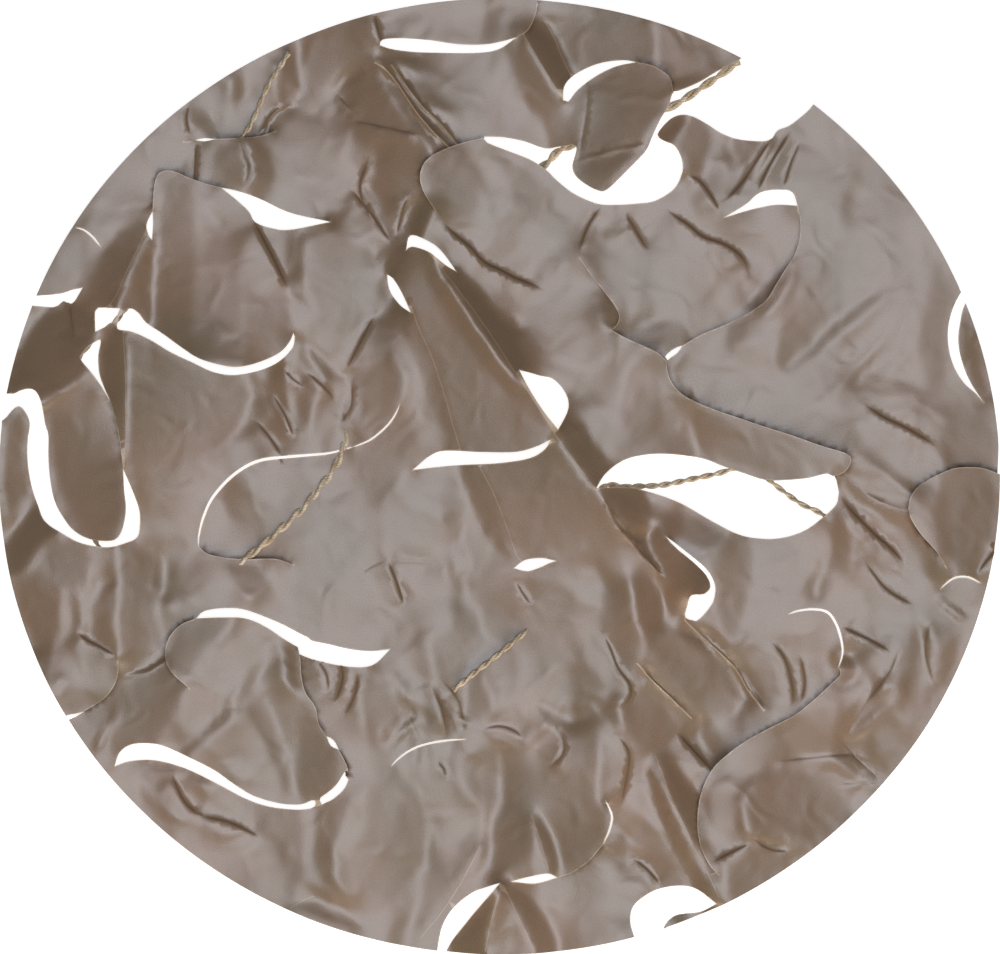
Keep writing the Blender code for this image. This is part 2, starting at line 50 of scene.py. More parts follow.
def smoothLine(points, step):
    # a smooth curve through the points, with all their columns carried along
    points = np.array(points, float)
    ends = np.vstack([2 * points[0] - points[1], points, 2 * points[-1] - points[-2]])
    line = [points[0]]
    for before, start, end, after in zip(ends, ends[1:], ends[2:], ends[3:]):
        count = max(1, round(np.hypot(*(end - start)[:2]) / step))
        for i in range(1, count + 1):
            t = i / count
            line.append(
                0.5 * (2 * start + (end - before) * t
                       + (2 * before - 5 * start + 4 * end - after) * t * t
                       + (3 * start - before - 3 * end + after) * t * t * t)
            )
    return np.array(line)


def runAlong(line):
    # how far each point is along the line
    return np.concatenate([[0.0], np.cumsum(np.linalg.norm(np.diff(line, axis=0), axis=1))])


def directionsOf(line):
    ahead = np.gradient(line, axis=0)
    return ahead / np.linalg.norm(ahead, axis=1)[:, None]


def leftOf(line):
    # the unit vector to the left of a line at each of its points
    ahead = directionsOf(line[:, :2])
    return np.column_stack([-ahead[:, 1], ahead[:, 0]])


def alongLine(points, line, reach):
    # which points are within reach of the line, how far off, how far along it,
    # and on which side, where left is positive
    low, high = line[:, :2].min(axis=0) - reach, line[:, :2].max(axis=0) + reach
    near = np.nonzero(((points >= low) & (points <= high)).all(axis=1))[0]
    away = np.full(len(near), np.inf)
    share = np.zeros(len(near))
    side = np.ones(len(near))
    here = points[near]
    steps = np.diff(line[:, :2], axis=0)
    lengths = np.hypot(steps[:, 0], steps[:, 1])
    total = lengths.sum()
    run = 0.0
    for start, step, length in zip(line[:-1, :2], steps, lengths):
        if length > 0:
            offset = here - start
            t = np.clip(offset @ step / length ** 2, 0.0, 1.0)
            gap = offset - t[:, None] * step
            d = np.hypot(gap[:, 0], gap[:, 1])
            closer = d < away
            away = np.where(closer, d, away)
            share = np.where(closer, (run + t * length) / total, share)
            side = np.where(closer, step[0] * offset[:, 1] - step[1] * offset[:, 0], side)
        run += length
    kept = away <= reach
    return near[kept], away[kept], share[kept], side[kept]


def columnAt(line, share, column):
    places = runAlong(line[:, :2])
    return np.interp(share, places / places[-1], line[:, column])


def spreadAlong(line, values):
    # the values as a third column, evenly spread along the line
    places = runAlong(line[:, :2])
    spread = np.interp(places / places[-1], np.linspace(0, 1, len(values)), values)
    return np.column_stack([line[:, :2], spread])


def insidePolygon(points, polygon):
    low, high = polygon.min(axis=0), polygon.max(axis=0)
    near = np.nonzero(((points >= low) & (points <= high)).all(axis=1))[0]
    found = np.zeros(len(points), bool)
    x, y = points[near, 0], points[near, 1]
    odd = np.zeros(len(near), bool)
    for (ax, ay), (bx, by) in zip(polygon, np.roll(polygon, -1, axis=0)):
        if ay != by:
            odd ^= ((ay > y) != (by > y)) & (x < ax + (y - ay) * (bx - ax) / (by - ay))
    found[near] = odd
    return found


def waves(points, size, seed):
    # smooth noise about -1 to 1 over the plan, with lumps of this size
    scale = 1.0 / size
    return np.array([noise.noise(Vector((x * scale, y * scale, seed))) for x, y in points])


def toLinear(colour):
    # an sRGB hex colour as the linear values that Blender's sockets take
    parts = [int(colour[i:i + 2], 16) / 255 for i in (1, 3, 5)]
    return [p / 12.92 if p <= 0.04045 else ((p + 0.055) / 1.055) ** 2.4 for p in parts] + [1.0]


def addNode(tree, kind, settings=None, sockets=None):
    # one node of this kind, with its settings, and its sockets linked or set
    node = tree.nodes.new(kind)
    for name, value in (settings or {}).items():
        setattr(node, name, value)
    for name, value in (sockets or {}).items():
        if isinstance(value, bpy.types.NodeSocket):
            tree.links.new(value, node.inputs[name])
        else:
            node.inputs[name].default_value = value
    return node


def newMaterial(name):
    material = bpy.data.materials.new(name)
    material.use_nodes = True
    tree = material.node_tree
    return material, tree, tree.nodes["Principled BSDF"]


def newPiece(name, points, faces, material):
    mesh = bpy.data.meshes.new(name)
    mesh.from_pydata([tuple(p * mm) for p in points], [], [tuple(map(int, face)) for face in faces])
    mesh.update()
    piece = bpy.data.objects.new(name, mesh)
    bpy.context.scene.collection.objects.link(piece)
    mesh.materials.append(material)
    return piece


# camera, floor and lights
studio = {
    "cameraHeight": 3.0,       # m, straight above the net
    "aim": (0.00017, -0.00017),
    "frameWidth": 0.34,        # m of floor across the frame
    "sensor": 36.0,
    "farthest": 20.0,
    "topLight": 99.0,          # W, a large soft box far above
    "topSize": 2.4,
    "topPlace": (0.15, 0.0, 6.0),
    "topColour": "#eaedf6",
    "frontLight": 28.5,        # W, low and soft, from the front right
    "frontSize": 1.5,
    "frontPlace": (0.2, -1.5, 0.9),
    "frontColour": "#fff2e2",
    "room": 0.12,
    "floorSize": 6.0,
    "floorGlow": 0.75,         # a light table, so the gaps stay bright
}

camera = bpy.data.objects.new("studioCamera", bpy.data.cameras.new("studioCamera"))
camera.location = (*studio["aim"], studio["cameraHeight"])
camera.data.sensor_width = studio["sensor"]
camera.data.lens = studio["sensor"] * studio["cameraHeight"] / studio["frameWidth"]
camera.data.clip_end = studio["farthest"]
bpy.context.scene.collection.objects.link(camera)
bpy.context.scene.camera = camera
bpy.context.scene.view_settings.view_transform = "Standard"


def areaLight(name, place, size, power, colour):
    light = bpy.data.objects.new(name, bpy.data.lights.new(name, "AREA"))
    light.data.shape = "DISK"
    light.data.size = size
    light.data.energy = power
    light.data.color = toLinear(colour)[:3]
    light.location = place
    light.rotation_euler = (-Vector(place)).to_track_quat("-Z", "Y").to_euler()
    bpy.context.scene.collection.objects.link(light)


for side in ("top", "front"):
    areaLight(side + "SoftBox", studio[side + "Place"], studio[side + "Size"],
              studio[side + "Light"], studio[side + "Colour"])
room = bpy.data.worlds.new("studioRoom")
room.use_nodes = True
room.node_tree.nodes["Background"].inputs["Color"].default_value = toLinear("#ffffff")
room.node_tree.nodes["Background"].inputs["Strength"].default_value = studio["room"]
bpy.context.scene.world = room

# paper lit from below: white and without gloss, so only the net has shine
floorMaterial, tree, shader = newMaterial("matt white studio paper")
shader.inputs["Base Color"].default_value = toLinear("#d8d8d8")
shader.inputs["Roughness"].default_value = 0.9
shader.inputs["Specular IOR Level"].default_value = 0.1
shader.inputs["Emission Color"].default_value = toLinear("#ffffff")
shader.inputs["Emission Strength"].default_value = studio["floorGlow"]
bpy.ops.object.select_all(action="DESELECT")
bpy.ops.mesh.primitive_plane_add(size=studio["floorSize"], location=(0.0, 0.0, 0.0))
floor = bpy.context.object
floor.name = "studioFloor"
floor.data.materials.append(floorMaterial)
print("studio ready")

# the cords of the netting
cord = {
    "thickness": 2.9,      # of a cord of size 1: two twisted plies
    "plyRadius": 0.74,
    "twistRadius": 0.7,    # from the cord's middle to the middle of a ply
    "pitch": 13.0,         # length of one full twist
    "pitchChange": 0.12,   # share by which the twist tightens and slackens
    "pitchWave": 17.0,
    "sides": 8,            # of each ply
    "step": 0.9,           # between its rings
    "stretchStep": 4.0,
    "rampStart": 2.2,      # how far past its stretch on the cloth a cord starts to sink
    "ramp": 11.0,
    "rampReach": 20.0,
    "phase": 0.7,          # radians between one cord's twist and the next one's
    "yarnMap": 2.0,        # mm to one unit of the yarn's map
}
knot = {
    "points": 46,
    "turns": 1.7,          # of one flat hitch, pulled tight
    "reach": 2.15,         # from the crossing to the middle of its yarn
    "squeeze": 0.35,       # how much narrower it is one way than the other
    "low": 0.9,
    "rise": 1.0,
    "waver": 0.2,
    "radius": 0.7,
    "firstTurn": 0.6,      # radians, so that no two hitches lie alike
    "nextTurn": 1.1,
}
# each cord's plan points, how high it is lifted, and the stretch where it lies on the cloth
cordRoutes = {
    "leftCord": {
        "points": [(-71.5, 144), (-79, 132), (-86.5, 116.5), (-104, 98), (-119, 76), (-127.5, 56.5),
            (-141, 43), (-147, 30), (-144, 6), (-138, -20), (-128, -36), (-119, -49)],
        "over": (0, 2), "above": 2.7, "lift": 0.05, "size": 0.7,
    },
    "mainCord": {
        "points": [(81.5, 141), (70, 133), (58, 125.5), (42, 119), (27, 113.5), (20, 110.5), (14, 105),
            (-6.5, 94), (-24, 88), (-36, 79), (-44, 60), (-50, 32), (-53.5, 8.5), (-64.5, -8), (-74.5, -18),
            (-86, -27.5), (-104, -40), (-119, -49), (-124, -72), (-136, -91)],
        "over": (12, 15), "above": 2.7, "lift": 0.2, "size": 1.0,
    },
    "crossingCord": {
        "points": [(-46.5, 155), (-43.5, 131), (-27, 107.5), (-6.5, 94), (20, 77), (44, 53), (65, 29),
            (84.5, 6.5), (91.5, -1), (102, -9), (111.5, -14), (136, -32), (157, -48)],
        "over": None, "above": 0, "lift": 0.75, "size": 0.7,
    },
    "rightCord": {
        "points": [(137, 93), (119, 77), (102, 46), (90, 20), (84.5, 6.5), (77.5, 2), (65, -1), (54.5, -3),
            (43.5, -3.5), (34, -5), (28, -28), (15.5, -46), (3, -57.5), (-9.5, -67.5), (-23.5, -79),
            (-41, -95), (-60, -121), (-82, -139)],
        "over": (12, 13), "above": 4.6, "lift": 0.05, "size": 0.75,
    },
    "lowerCord": {
        "points": [(-119, -49), (-98, -66), (-68, -82), (-46, -80), (-23.5, -79), (8, -93), (35, -105),
            (62, -121), (84, -136)],
        "over": None, "above": 0, "lift": 0.5, "size": 0.8,
    },
}
knots = ((-6.5, 94), (84.5, 6.5), (-119, -49), (-23.5, -79))


def cordLine(route):
    # middle of the cord in space: low under the cloth, and raised where it lies on it
    line = smoothLine(route["points"], cord["step"])
    z = np.full(len(line), route["lift"] + route["size"] * cord["thickness"] / 2)
    if route["over"]:
        first, last = route["over"]
        stretch = smoothLine(route["points"][first:last + 1], cord["stretchStep"])
        near, away, share, side = alongLine(line, stretch, cord["rampReach"])
        rise = 1.0 - smoothStep((away - cord["rampStart"]) / cord["ramp"])
        z[near] += (route["above"] - z[near]) * rise
    return np.column_stack([line, z])


def axesAcross(middle):
    # two directions square to the line at each point: level, and upward
    ahead = directionsOf(middle)
    across = np.cross(ahead, (0.0, 0.0, 1.0))
    across /= np.linalg.norm(across, axis=1)[:, None]
    return across, np.cross(across, ahead)


def tube(middle, radius, sides):
    # rings round the middle line, capped at both ends, with a map of length and turn for the yarn pattern
    across, upward = axesAcross(middle)
    turn = np.arange(sides) * 2 * math.pi / sides
    rings = (middle[:, None, :] + radius * (np.cos(turn)[None, :, None] * across[:, None, :]
                                            + np.sin(turn)[None, :, None] * upward[:, None, :]))
    run = runAlong(middle)
    faces, spots = [], []
    for i in range(len(middle) - 1):
        for j in range(sides):
            k = (j + 1) % sides
            faces.append((i * sides + j, i * sides + k, (i + 1) * sides + k, (i + 1) * sides + j))
            spots.append(((run[i], j), (run[i], j + 1), (run[i + 1], j + 1), (run[i + 1], j)))
    last = (len(middle) - 1) * sides
    faces.append(tuple(range(sides))[::-1])
    spots.append(((run[0], 0),) * sides)
    faces.append(tuple(last + j for j in range(sides)))
    spots.append(((run[-1], 0),) * sides)
    return rings.reshape(-1, 3), faces, spots


def plies(middle, phase, size):
    # the two plies that twist round the cord's middle line
    run = runAlong(middle)
    across, upward = axesAcross(middle)
    pitch = cord["pitch"] * size * (1.0 + cord["pitchChange"] * np.sin(run / cord["pitchWave"] + phase))
    angle = phase + 2 * math.pi * np.cumsum(np.concatenate([[0.0], np.diff(run) / pitch[1:]]))
    for start in (0.0, math.pi):
        yield (middle + size * cord["twistRadius"] * (np.cos(angle + start)[:, None] * across
                                                      + np.sin(angle + start)[:, None] * upward))


def knotLine(x, y, turn):
    # a little over a loop and a half round the crossing, rising as it goes
    angle = np.linspace(0.0, 2 * knot["turns"] * math.pi, knot["points"])
    reach = knot["reach"] - knot["squeeze"] * np.cos(2 * angle)
    height = knot["low"] + knot["rise"] * np.linspace(0, 1, knot["points"])
    height += knot["waver"] * np.sin(2 * angle)
    return np.column_stack([x + reach * np.cos(angle + turn), y + reach * np.sin(angle + turn), height])


# dry bast fibre: matt and pale, with brown grooves between the plies
straw, tree, shader = newMaterial("jute twine, two-ply")
yarn = addNode(tree, "ShaderNodeUVMap", {"uv_map": "yarn"})
# real fibres are under 0.1 mm apart, and are drawn in strands about 1 mm apart so that they show
fibres = addNode(tree, "ShaderNodeTexWave", {"wave_type": "BANDS", "bands_direction": "DIAGONAL"},
                 {"Vector": yarn.outputs["UV"], "Scale": 1.1, "Distortion": 2.0, "Detail": 3.0})
place = addNode(tree, "ShaderNodeTexCoord")
patches = addNode(tree, "ShaderNodeTexNoise", {},
                  {"Vector": place.outputs["Object"], "Scale": 420.0, "Detail": 3.0})  # 2.4 mm patches
shades = addNode(tree, "ShaderNodeValToRGB", {}, {"Fac": patches.outputs["Fac"]})
shades.color_ramp.elements[0].position = 0.3
shades.color_ramp.elements[0].color = toLinear("#b39d7f")  # the shaded side of dry straw-coloured fibre
shades.color_ramp.elements[1].position = 0.72
shades.color_ramp.elements[1].color = toLinear("#ecdfc8")  # its bleached, hairy crests
fibreTone = addNode(tree, "ShaderNodeMix", {"data_type": "RGBA", "blend_type": "MULTIPLY"},
                    {"Factor": 0.25, "A": shades.outputs["Color"], "B": fibres.outputs["Color"]})
tree.links.new(fibreTone.outputs["Result"], shader.inputs["Base Color"])
shader.inputs["Roughness"].default_value = 0.78
shader.inputs["Sheen Weight"].default_value = 0.15
grooves = addNode(tree, "ShaderNodeBump", {},
                  {"Strength": 0.5, "Distance": 0.0002, "Height": fibres.outputs["Fac"]})
tree.links.new(grooves.outputs["Normal"], shader.inputs["Normal"])

netPoints, netFaces, netSpots = [], [], []


def addTube(middle, radius):
    points, faces, spots = tube(middle, radius, cord["sides"])
    start = sum(len(part) for part in netPoints)
    netPoints.append(points)
    netFaces.extend(tuple(i + start for i in face) for face in faces)
    netSpots.extend(spots)


cordLines = {name: cordLine(route) for name, route in cordRoutes.items()}
for i, (name, line) in enumerate(cordLines.items()):
    size = cordRoutes[name]["size"]
    for ply in plies(line, cord["phase"] * i, size):
        addTube(ply, size * cord["plyRadius"])
for i, (x, y) in enumerate(knots):
    addTube(knotLine(x, y, knot["firstTurn"] + knot["nextTurn"] * i), knot["radius"])
net = newPiece("cordNet", np.vstack(netPoints), netFaces, straw)
net.data.shade_smooth()
yarnMap = net.data.uv_layers.new(name="yarn")
yarnMap.data.foreach_set("uv", np.array([c for face in netSpots for run, turn in face
                                         for c in (run / cord["yarnMap"],
                                                   turn / cord["sides"] * cord["yarnMap"])]))
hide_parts("cord_netting")
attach(net, "root")
print("cords ready,", len(net.data.polygons), "faces")

# the cloth, its cuts and its folds
cloth = {
    "halfWidth": 170.0,
    "halfDepth": 162.3,
    "outlinePoints": 640,
    "thickness": 0.45,
    "sharpAngle": 55.0,
    # the mesh
    "spacing": 1.5,        # between mesh points
    "rowOverhang": 2.0,
    "shake": 0.25,         # how far the mesh points are moved out of their rows
    "shakeChange": 1.7,    # how fast the move changes from one point to the next
    "shakeSeeds": (5.5, 8.5),
    "lipStep": 1.2,        # between points along lips and cuts, folds and creases
    "foldStep": 2.0,
    "creaseStep": 1.6,
    "clearance": 0.75,     # of the mesh points from every line
    "edgeMargin": 0.9,     # and from the outline
    "tolerance": 0.02,     # points nearer than this become one
    "onLine": 0.03,        # a point this near a line is on it
    "onCrease": 0.05,
    "nudge": 0.1,          # share of the way from a point to the middle of the triangles round it
    "besideCut": 3.0,
    # how it lies
    "restHeight": 3.1,     # where nothing lifts it
    "unevenness": ((0.5, 46.0, 2.2), (0.35, 24.0, 7.1)),    # height, length and seed of its waves
    "slack": 17.0,         # how far the slope of a fold reaches
    "freeStiffness": 0.8,  # of the cloth between the fold faces, as a share
    "facetHold": 0.06,     # how strongly the fold faces are pulled to the rest height, as a share
    "lipPull": 0.025,      # how strongly lips, cuts and folds are pulled to their own heights
    "cutPull": 0.012,
    "foldPull": 0.12,
    "floorPull": 2.0,      # the same for cloth that would sink into the floor or a cord
    "overFloor": 0.35,     # air under the lowest cloth
    "nearFloor": 0.02,
    "liftFromFloor": 0.1,
    "cutStiffness": 4.0,   # with which the two sides of a cut are held together
    "highestStep": 1.5,    # between the two sides of a cut
    "sliverLimit": 6.0,    # triangles more drawn out than this count less
    "mostRounds": 900,
    "settled": 1e-9,       # share of the first push at which the rounds stop
    "corrections": 3,      # how often the slopes are corrected, and by which share of what is missing
    "correction": 0.6,
    "largestCorrection": 0.5,
    "smoothing": 2,
    "softening": 0.5,      # share of the way to the neighbours' mean height
    "facetBlur": 6,        # how softly the fold faces pass into the cloth round them
    "swell": 0.7,          # height, length and seed of the long waves on top of the folds
    "swellLength": 25.0,
    "swellSeed": 14.2,
    "swellOffFacets": 0.8,    # how much less of them there is on the fold faces, as a share
    # creases and crumpling
    "creaseDepth": 0.3,    # of the height that a crease's row gives
    "creaseWall": 0.6,     # width of the steep side of a crease
    "creaseSpread": 2.2,   # reach of a crease's swelling, as times its stated width
    "creaseTaper": 0.22,   # share of a crease's length over which each end fades
    "crumple": 0.2,        # strength where no bunched place is near
    "crumpleOffFacets": 0.85,
    "crumpleLongness": 2.4,            # how much longer than wide its folds are
    "crumpleLevel": (0.5, 2.2),        # height of its ridges, and how sharply they fall
    "broadFold": (1.3, 13.0, 1.4),     # height, width and seed of the crumpling's two sizes
    "narrowFold": (0.2, 6.0, 6.4),
    "warp": (5.0, 34.0),   # how far and over what length the crumpling wanders
    "warpSeeds": (3.3, 9.9),
    "seedStep": 7,
    # tucked edges, painted shade beside edges and in creases, and painted highlights along edges and ridges
    "tuckReach": 11.0,     # how far from a cut its tucked side is drawn along
    "tuckTaper": 0.07,     # share of a cut's length over which each end fades
    "tuckRise": 2.5,       # height of the upper side at which the tuck is whole
    "shadeReach": 1.1,     # width of the painted shade line beside an edge that lies on the cloth
    "shadeRise": 2.0,
    "shadeLength": 14.0,   # between its darker and lighter stretches
    "shadeSeed": 4.7,
    "shadeShare": 0.7,
    "leastShade": 0.02,
    "creaseShade": 0.38,
    "fullDrop": 1.8,       # depth of a crease whose painted shade is full
    "foldHighlight": 0.86,      # painted highlight along fold ridges, on the same scale as 1, the light line of a cut edge
    # painted highlight along some creases
    "creaseHighlight": 1.5,
    "rimEnds": 0.995,      # the outline itself shows no light line
}
# the far and near lip of each gap, and how high each lip stands along it
gapShapes = {
    "notchAndTopHole": {
        "far": [(92, 150.1), (82.1, 142), (75, 138.2), (68.2, 134.1), (62.4, 131.1), (59, 130.7),
            (57.3, 125.6), (54.6, 121.2), (51.9, 115.4), (49.5, 110.3), (44.4, 104.9), (36.6, 97.4),
            (33.2, 97.1), (28.7, 99.5), (25.7, 102.2), (24.7, 105.6), (26, 112), (20.6, 112), (15.5, 111.4),
            (8.7, 113.7), (1.9, 115.1), (-5.3, 115.4)],
        "near": [(115.8, 138.2), (106.6, 126.3), (102.9, 122.6), (98.4, 119.2), (94.4, 117.5),
            (91.3, 114.1), (82.1, 114.4), (75.7, 116.5), (70.2, 119.9), (65.8, 122.2), (62.4, 122.9),
            (59.3, 122.2), (56.3, 119.9), (53.6, 116.1), (55.6, 114.1), (59.3, 112.4), (61.7, 108.3),
            (62.1, 103.5), (59.3, 97.8), (52.9, 93.7), (46.4, 92.7), (39.6, 92.3), (33.2, 92.7),
            (25.3, 96.1), (19.6, 100.5), (15.8, 104.2), (10.4, 107.6), (3.6, 110.3), (-4.2, 113.4),
            (-5.3, 115.4)],
        "farZ": (5, 5, 6, 14, 9, 5, 4.5, 5, 5, 5.5, 5.5, 5), "nearZ": (3, 4, 5, 5, 6, 5, 4, 4, 4.5, 5, 7),
    },
    "crescentOverLobe": {
        "far": [(21.6, 127.7), (21.9, 132.1), (24.3, 135.5), (29.4, 138.6), (35.2, 140.6), (42.3, 141.3),
            (46.4, 140.6)],
        "near": [(21.6, 127.7), (23.3, 127.3), (26.7, 131.4), (33.2, 136.2), (39.6, 139.2), (46.4, 140.6)],
        "farZ": (6, 4.5, 4.5, 7), "nearZ": (6, 5, 7, 9),
    },
    "topCrescent": {
        "far": [(-40.6, 146.7), (-39.6, 148.4), (-33.8, 148.8), (-23.6, 148.1), (-13.4, 146.7),
            (-4.9, 146.7), (0.9, 147.7), (6, 149.1)],
        "near": [(-40.6, 146.4), (-35.5, 145), (-23.6, 144), (-3.2, 144.3), (6, 149.1)],
        "farZ": (4, 6, 6, 6), "nearZ": (4, 3.5, 3.5, 6),
    },
    "upperLeftCrescent": {
        "far": [(-94.4, 98.1), (-88.2, 96.7), (-80.8, 94), (-71.2, 89.6), (-57.3, 86.5)],
        "near": [(-94.4, 98.1), (-88.2, 93), (-84.8, 89.6), (-83.1, 86.5), (-78, 84.5), (-71.2, 83.8),
            (-57.3, 86.5)],
        "farZ": (5, 3.5, 3.2, 3.5), "nearZ": (8, 7.5, 4, 3.5, 3.5),
    },
    "crescentUnderNotch": {
        "far": [(76.3, 87.9), (83.5, 92.3), (88.6, 96.4), (95.4, 97.4), (99.5, 96.4), (101.2, 92)],
        "near": [(76.3, 87.9), (85.2, 90.6), (93.7, 92.3), (101.2, 92)],
        "farZ": (4, 4.5, 5, 4.5), "nearZ": (4, 3.5, 3, 4),
    },
    "pleatHeadCrescent": {
        "far": [(-31.8, 76.7), (-30.4, 81.8), (-25.3, 80.4), (-20.2, 77), (-14.5, 69.5)],
        "near": [(-31.8, 76.7), (-29.8, 78), (-24.3, 76.3), (-18.5, 71.9), (-14.5, 69.5)],
        "farZ": (6, 5, 5, 5), "nearZ": (6.5, 9, 10, 6),
    },
    "besidePleatHead": {
        "far": [(-38.2, 68.5), (-36.2, 67.2), (-33.2, 62.4), (-30.1, 55.6)],
        "near": [(-38.2, 68.5), (-37.2, 63.1), (-33.8, 58.3), (-30.1, 55.6)],
        "farZ": (5, 7, 6), "nearZ": (5, 3.5, 4),
    },
    "longLeftCrescent": {
        "far": [(-129, 54.2), (-125.6, 57), (-122.6, 55.6), (-119.9, 52.2), (-114.4, 48.5), (-107.3, 43.4),
            (-101.8, 40), (-93.7, 37.6), (-87.9, 37.2), (-81.1, 38.9), (-74.6, 42), (-71.2, 45.7),
            (-69.9, 48.8)],
        "near": [(-129, 54.2), (-129.7, 50.2), (-124.6, 49.1), (-118.5, 46.4), (-111.7, 42.3),
            (-103.9, 38.6), (-97.1, 35.5), (-89.9, 34.5), (-81.1, 36.2), (-74.6, 39.3), (-70.2, 44),
            (-69.5, 48.8)],
        "farZ": (7, 7, 6, 4.5, 4, 3.5, 3.5), "nearZ": (7, 8, 7, 5, 3.6, 3.2, 3.5),
    },
    "windowAboveCord": {
        "far": [(-137.2, 49.1), (-137.2, 56.3), (-134.5, 57.3), (-128.7, 57)],
        "near": [(-137.2, 49.1), (-131.1, 52.5), (-128.7, 57)],
        "farZ": (5, 6, 6.5, 7), "nearZ": (5, 5, 7),
    },
    "windowBelowCord": {
        "far": [(-142.3, 40.6), (-139.9, 43.7), (-135.5, 46.4), (-136.2, 41), (-135.8, 34.9),
            (-133.8, 29.4), (-132.1, 25.7)],
        "near": [(-142.3, 40.6), (-141.6, 38.9), (-138.6, 35.5), (-135.2, 30.8), (-132.1, 25.7)],
        "farZ": (6, 5, 4.5, 5, 6), "nearZ": (6, 7.5, 7, 6),
    },
    "leftEdgeSlit": {
        "far": [(-166.4, 61), (-156.9, 61.4), (-149.1, 62.1), (-145, 63.4), (-141.6, 64.1)],
        "near": [(-166.4, 57.6), (-158.3, 58), (-151.5, 57.6), (-149.1, 59), (-148.1, 59.7), (-146, 58.7),
            (-144.3, 59.7), (-141.6, 64.1)],
        "farZ": (1.5, 2, 2.5), "nearZ": (4, 5, 4, 2.5),
    },
    "tongueSlit": {
        "far": [(-174.9, 28.4), (-167.8, 28.4), (-165.1, 28.1), (-163, 29.1), (-160, 29.8), (-157.6, 29.1),
            (-155.6, 25.3), (-154.2, 17.5), (-153.2, 14.1), (-153.2, 6.3), (-152.5, -1.9), (-150.8, -9),
            (-147.7, -14.5), (-144.3, -18.5), (-139.2, -21.2), (-133.1, -21.9), (-129.7, -20.9),
            (-127.7, -17.2), (-126.7, -11.1), (-127.3, -4.6), (-127.7, 2.6)],
        "near": [(-174.9, 15.8), (-168.5, 19.2), (-165.8, 22.3), (-163.4, 24), (-161.3, 22.3),
            (-159.6, 18.2), (-160.3, 12.1), (-160.3, 4.9), (-159, -3.2), (-156.9, -9.7), (-154.5, -15.1),
            (-149.1, -18.9), (-142, -22.6), (-133.1, -24), (-127, -22.6), (-123.3, -20.9), (-122.2, -17.9),
            (-122.2, -11.7), (-124.6, -4.6), (-127.7, 2.6)],
        "farZ": (6, 7, 9, 8.5, 7, 5.5, 4.2, 3.6, 3.6, 4, 6), "nearZ": (2.5, 3, 3.5, 2.5, 2, 2, 2.5, 3, 4, 6),
    },
    "pleatSideHole": {
        "far": [(6.6, 36.2), (10.4, 35.2), (13.8, 34.2), (17.9, 33.2), (21.2, 30.1), (23.3, 26), (23, 21.9),
            (19.9, 15.8)],
        "near": [(6.6, 36.2), (10.4, 29.1), (14.8, 22.3), (19.9, 15.8)],
        "farZ": (8, 5, 4.5, 4.5, 6, 12), "nearZ": (11, 14.5, 14.5, 13),
    },
    "middleCrescent": {
        "far": [(-29.4, 2.2), (-23.6, 7), (-18.5, 8.7), (-6.6, 8.3), (5.3, 8.3), (12.1, 10), (17.2, 12.4)],
        "near": [(-29.4, 2.2), (-21.9, 3.2), (-13.4, 3.9), (0.2, 4.6), (10.4, 6.3), (15.5, 9.4),
            (17.2, 12.4)],
        "farZ": (3.6, 4.5, 7, 9, 12, 13), "nearZ": (3.6, 3.5, 4, 6, 8, 12),
    },
    "smallMiddleCrescent": {
        "far": [(4.9, -31.1), (8.7, -28.4), (13.8, -27.7), (16.8, -28.1), (19.2, -28.7)],
        "near": [(4.9, -31.1), (9.4, -32.1), (13.8, -30.8), (16.8, -29.4), (19.2, -28.7)],
        "farZ": (4.5, 6, 5), "nearZ": (4.5, 3.5, 5),
    },
    "bigHole": {
        "far": [(32.8, -3.9), (35.9, 0.9), (41, 4.9), (47.1, 7), (56.3, 7.7), (68.2, 6.3), (75.7, 3.6),
            (83.5, 0.9), (90.3, -1.2), (97.1, -1.2), (104.9, -0.5), (111.4, 0.9), (114.4, -1.9),
            (115.4, -6)],
        "near": [(32.8, -3.9), (42.7, -3.6), (51.2, -5.3), (61.4, -9), (71.6, -14.8), (80.1, -19.2),
            (86.9, -20.9), (95.4, -20.9), (103.9, -18.2), (110.7, -13.1), (114.4, -9.4), (115.4, -6)],
        "farZ": (12, 5, 5, 5, 5.5, 5.8, 5.5, 5, 3.5), "nearZ": (12, 6, 5, 4.5, 3, 1.2, 1, 1.5, 3.5),
    },
    "lowerLeftCrescent": {
        "far": [(-102.9, -48.1), (-100.1, -45.7), (-93.3, -44.7), (-85.9, -45.4), (-74.6, -49.8),
            (-64.4, -54.9), (-52.5, -58.3), (-44, -59.3), (-37.2, -58.7)],
        "near": [(-102.9, -48.1), (-95, -47.8), (-86.5, -48.1), (-79.7, -50.8), (-72.9, -55.3),
            (-67.8, -58.3), (-61, -62.4), (-52.5, -64.4), (-43.4, -64.1), (-37.2, -58.7)],
        "farZ": (5, 3.8, 3.6, 3.6, 3.6), "nearZ": (6, 7, 7.5, 6, 3.8, 3.6),
    },
    "bottomLeftCrescent": {
        "far": [(-130.7, -98.4), (-129, -93.7), (-125, -91), (-118.8, -90.6), (-113.7, -91.6),
            (-105.2, -95.4), (-96.7, -99.8), (-89.9, -104.6), (-83.1, -108.6), (-74.6, -111),
            (-67.8, -111.4), (-63.8, -110), (-62.7, -110), (-62.4, -111)],
        "near": [(-130.7, -98.4), (-125.6, -96.7), (-117.1, -96.4), (-106.9, -99.1), (-96.7, -103.9),
            (-86.5, -109.3), (-78.7, -112), (-69.5, -113.1), (-64.1, -112.7), (-62.7, -112), (-62.4, -111)],
        "farZ": (4, 6, 6, 5, 5, 6, 6, 6), "nearZ": (4, 2.5, 2, 2, 2.5, 3, 5),
    },
    "bottomLeftCrescentEnd": {
        "far": [(-61, -110), (-60.7, -109), (-59.3, -108), (-55.6, -104.9), (-52.2, -99.8)],
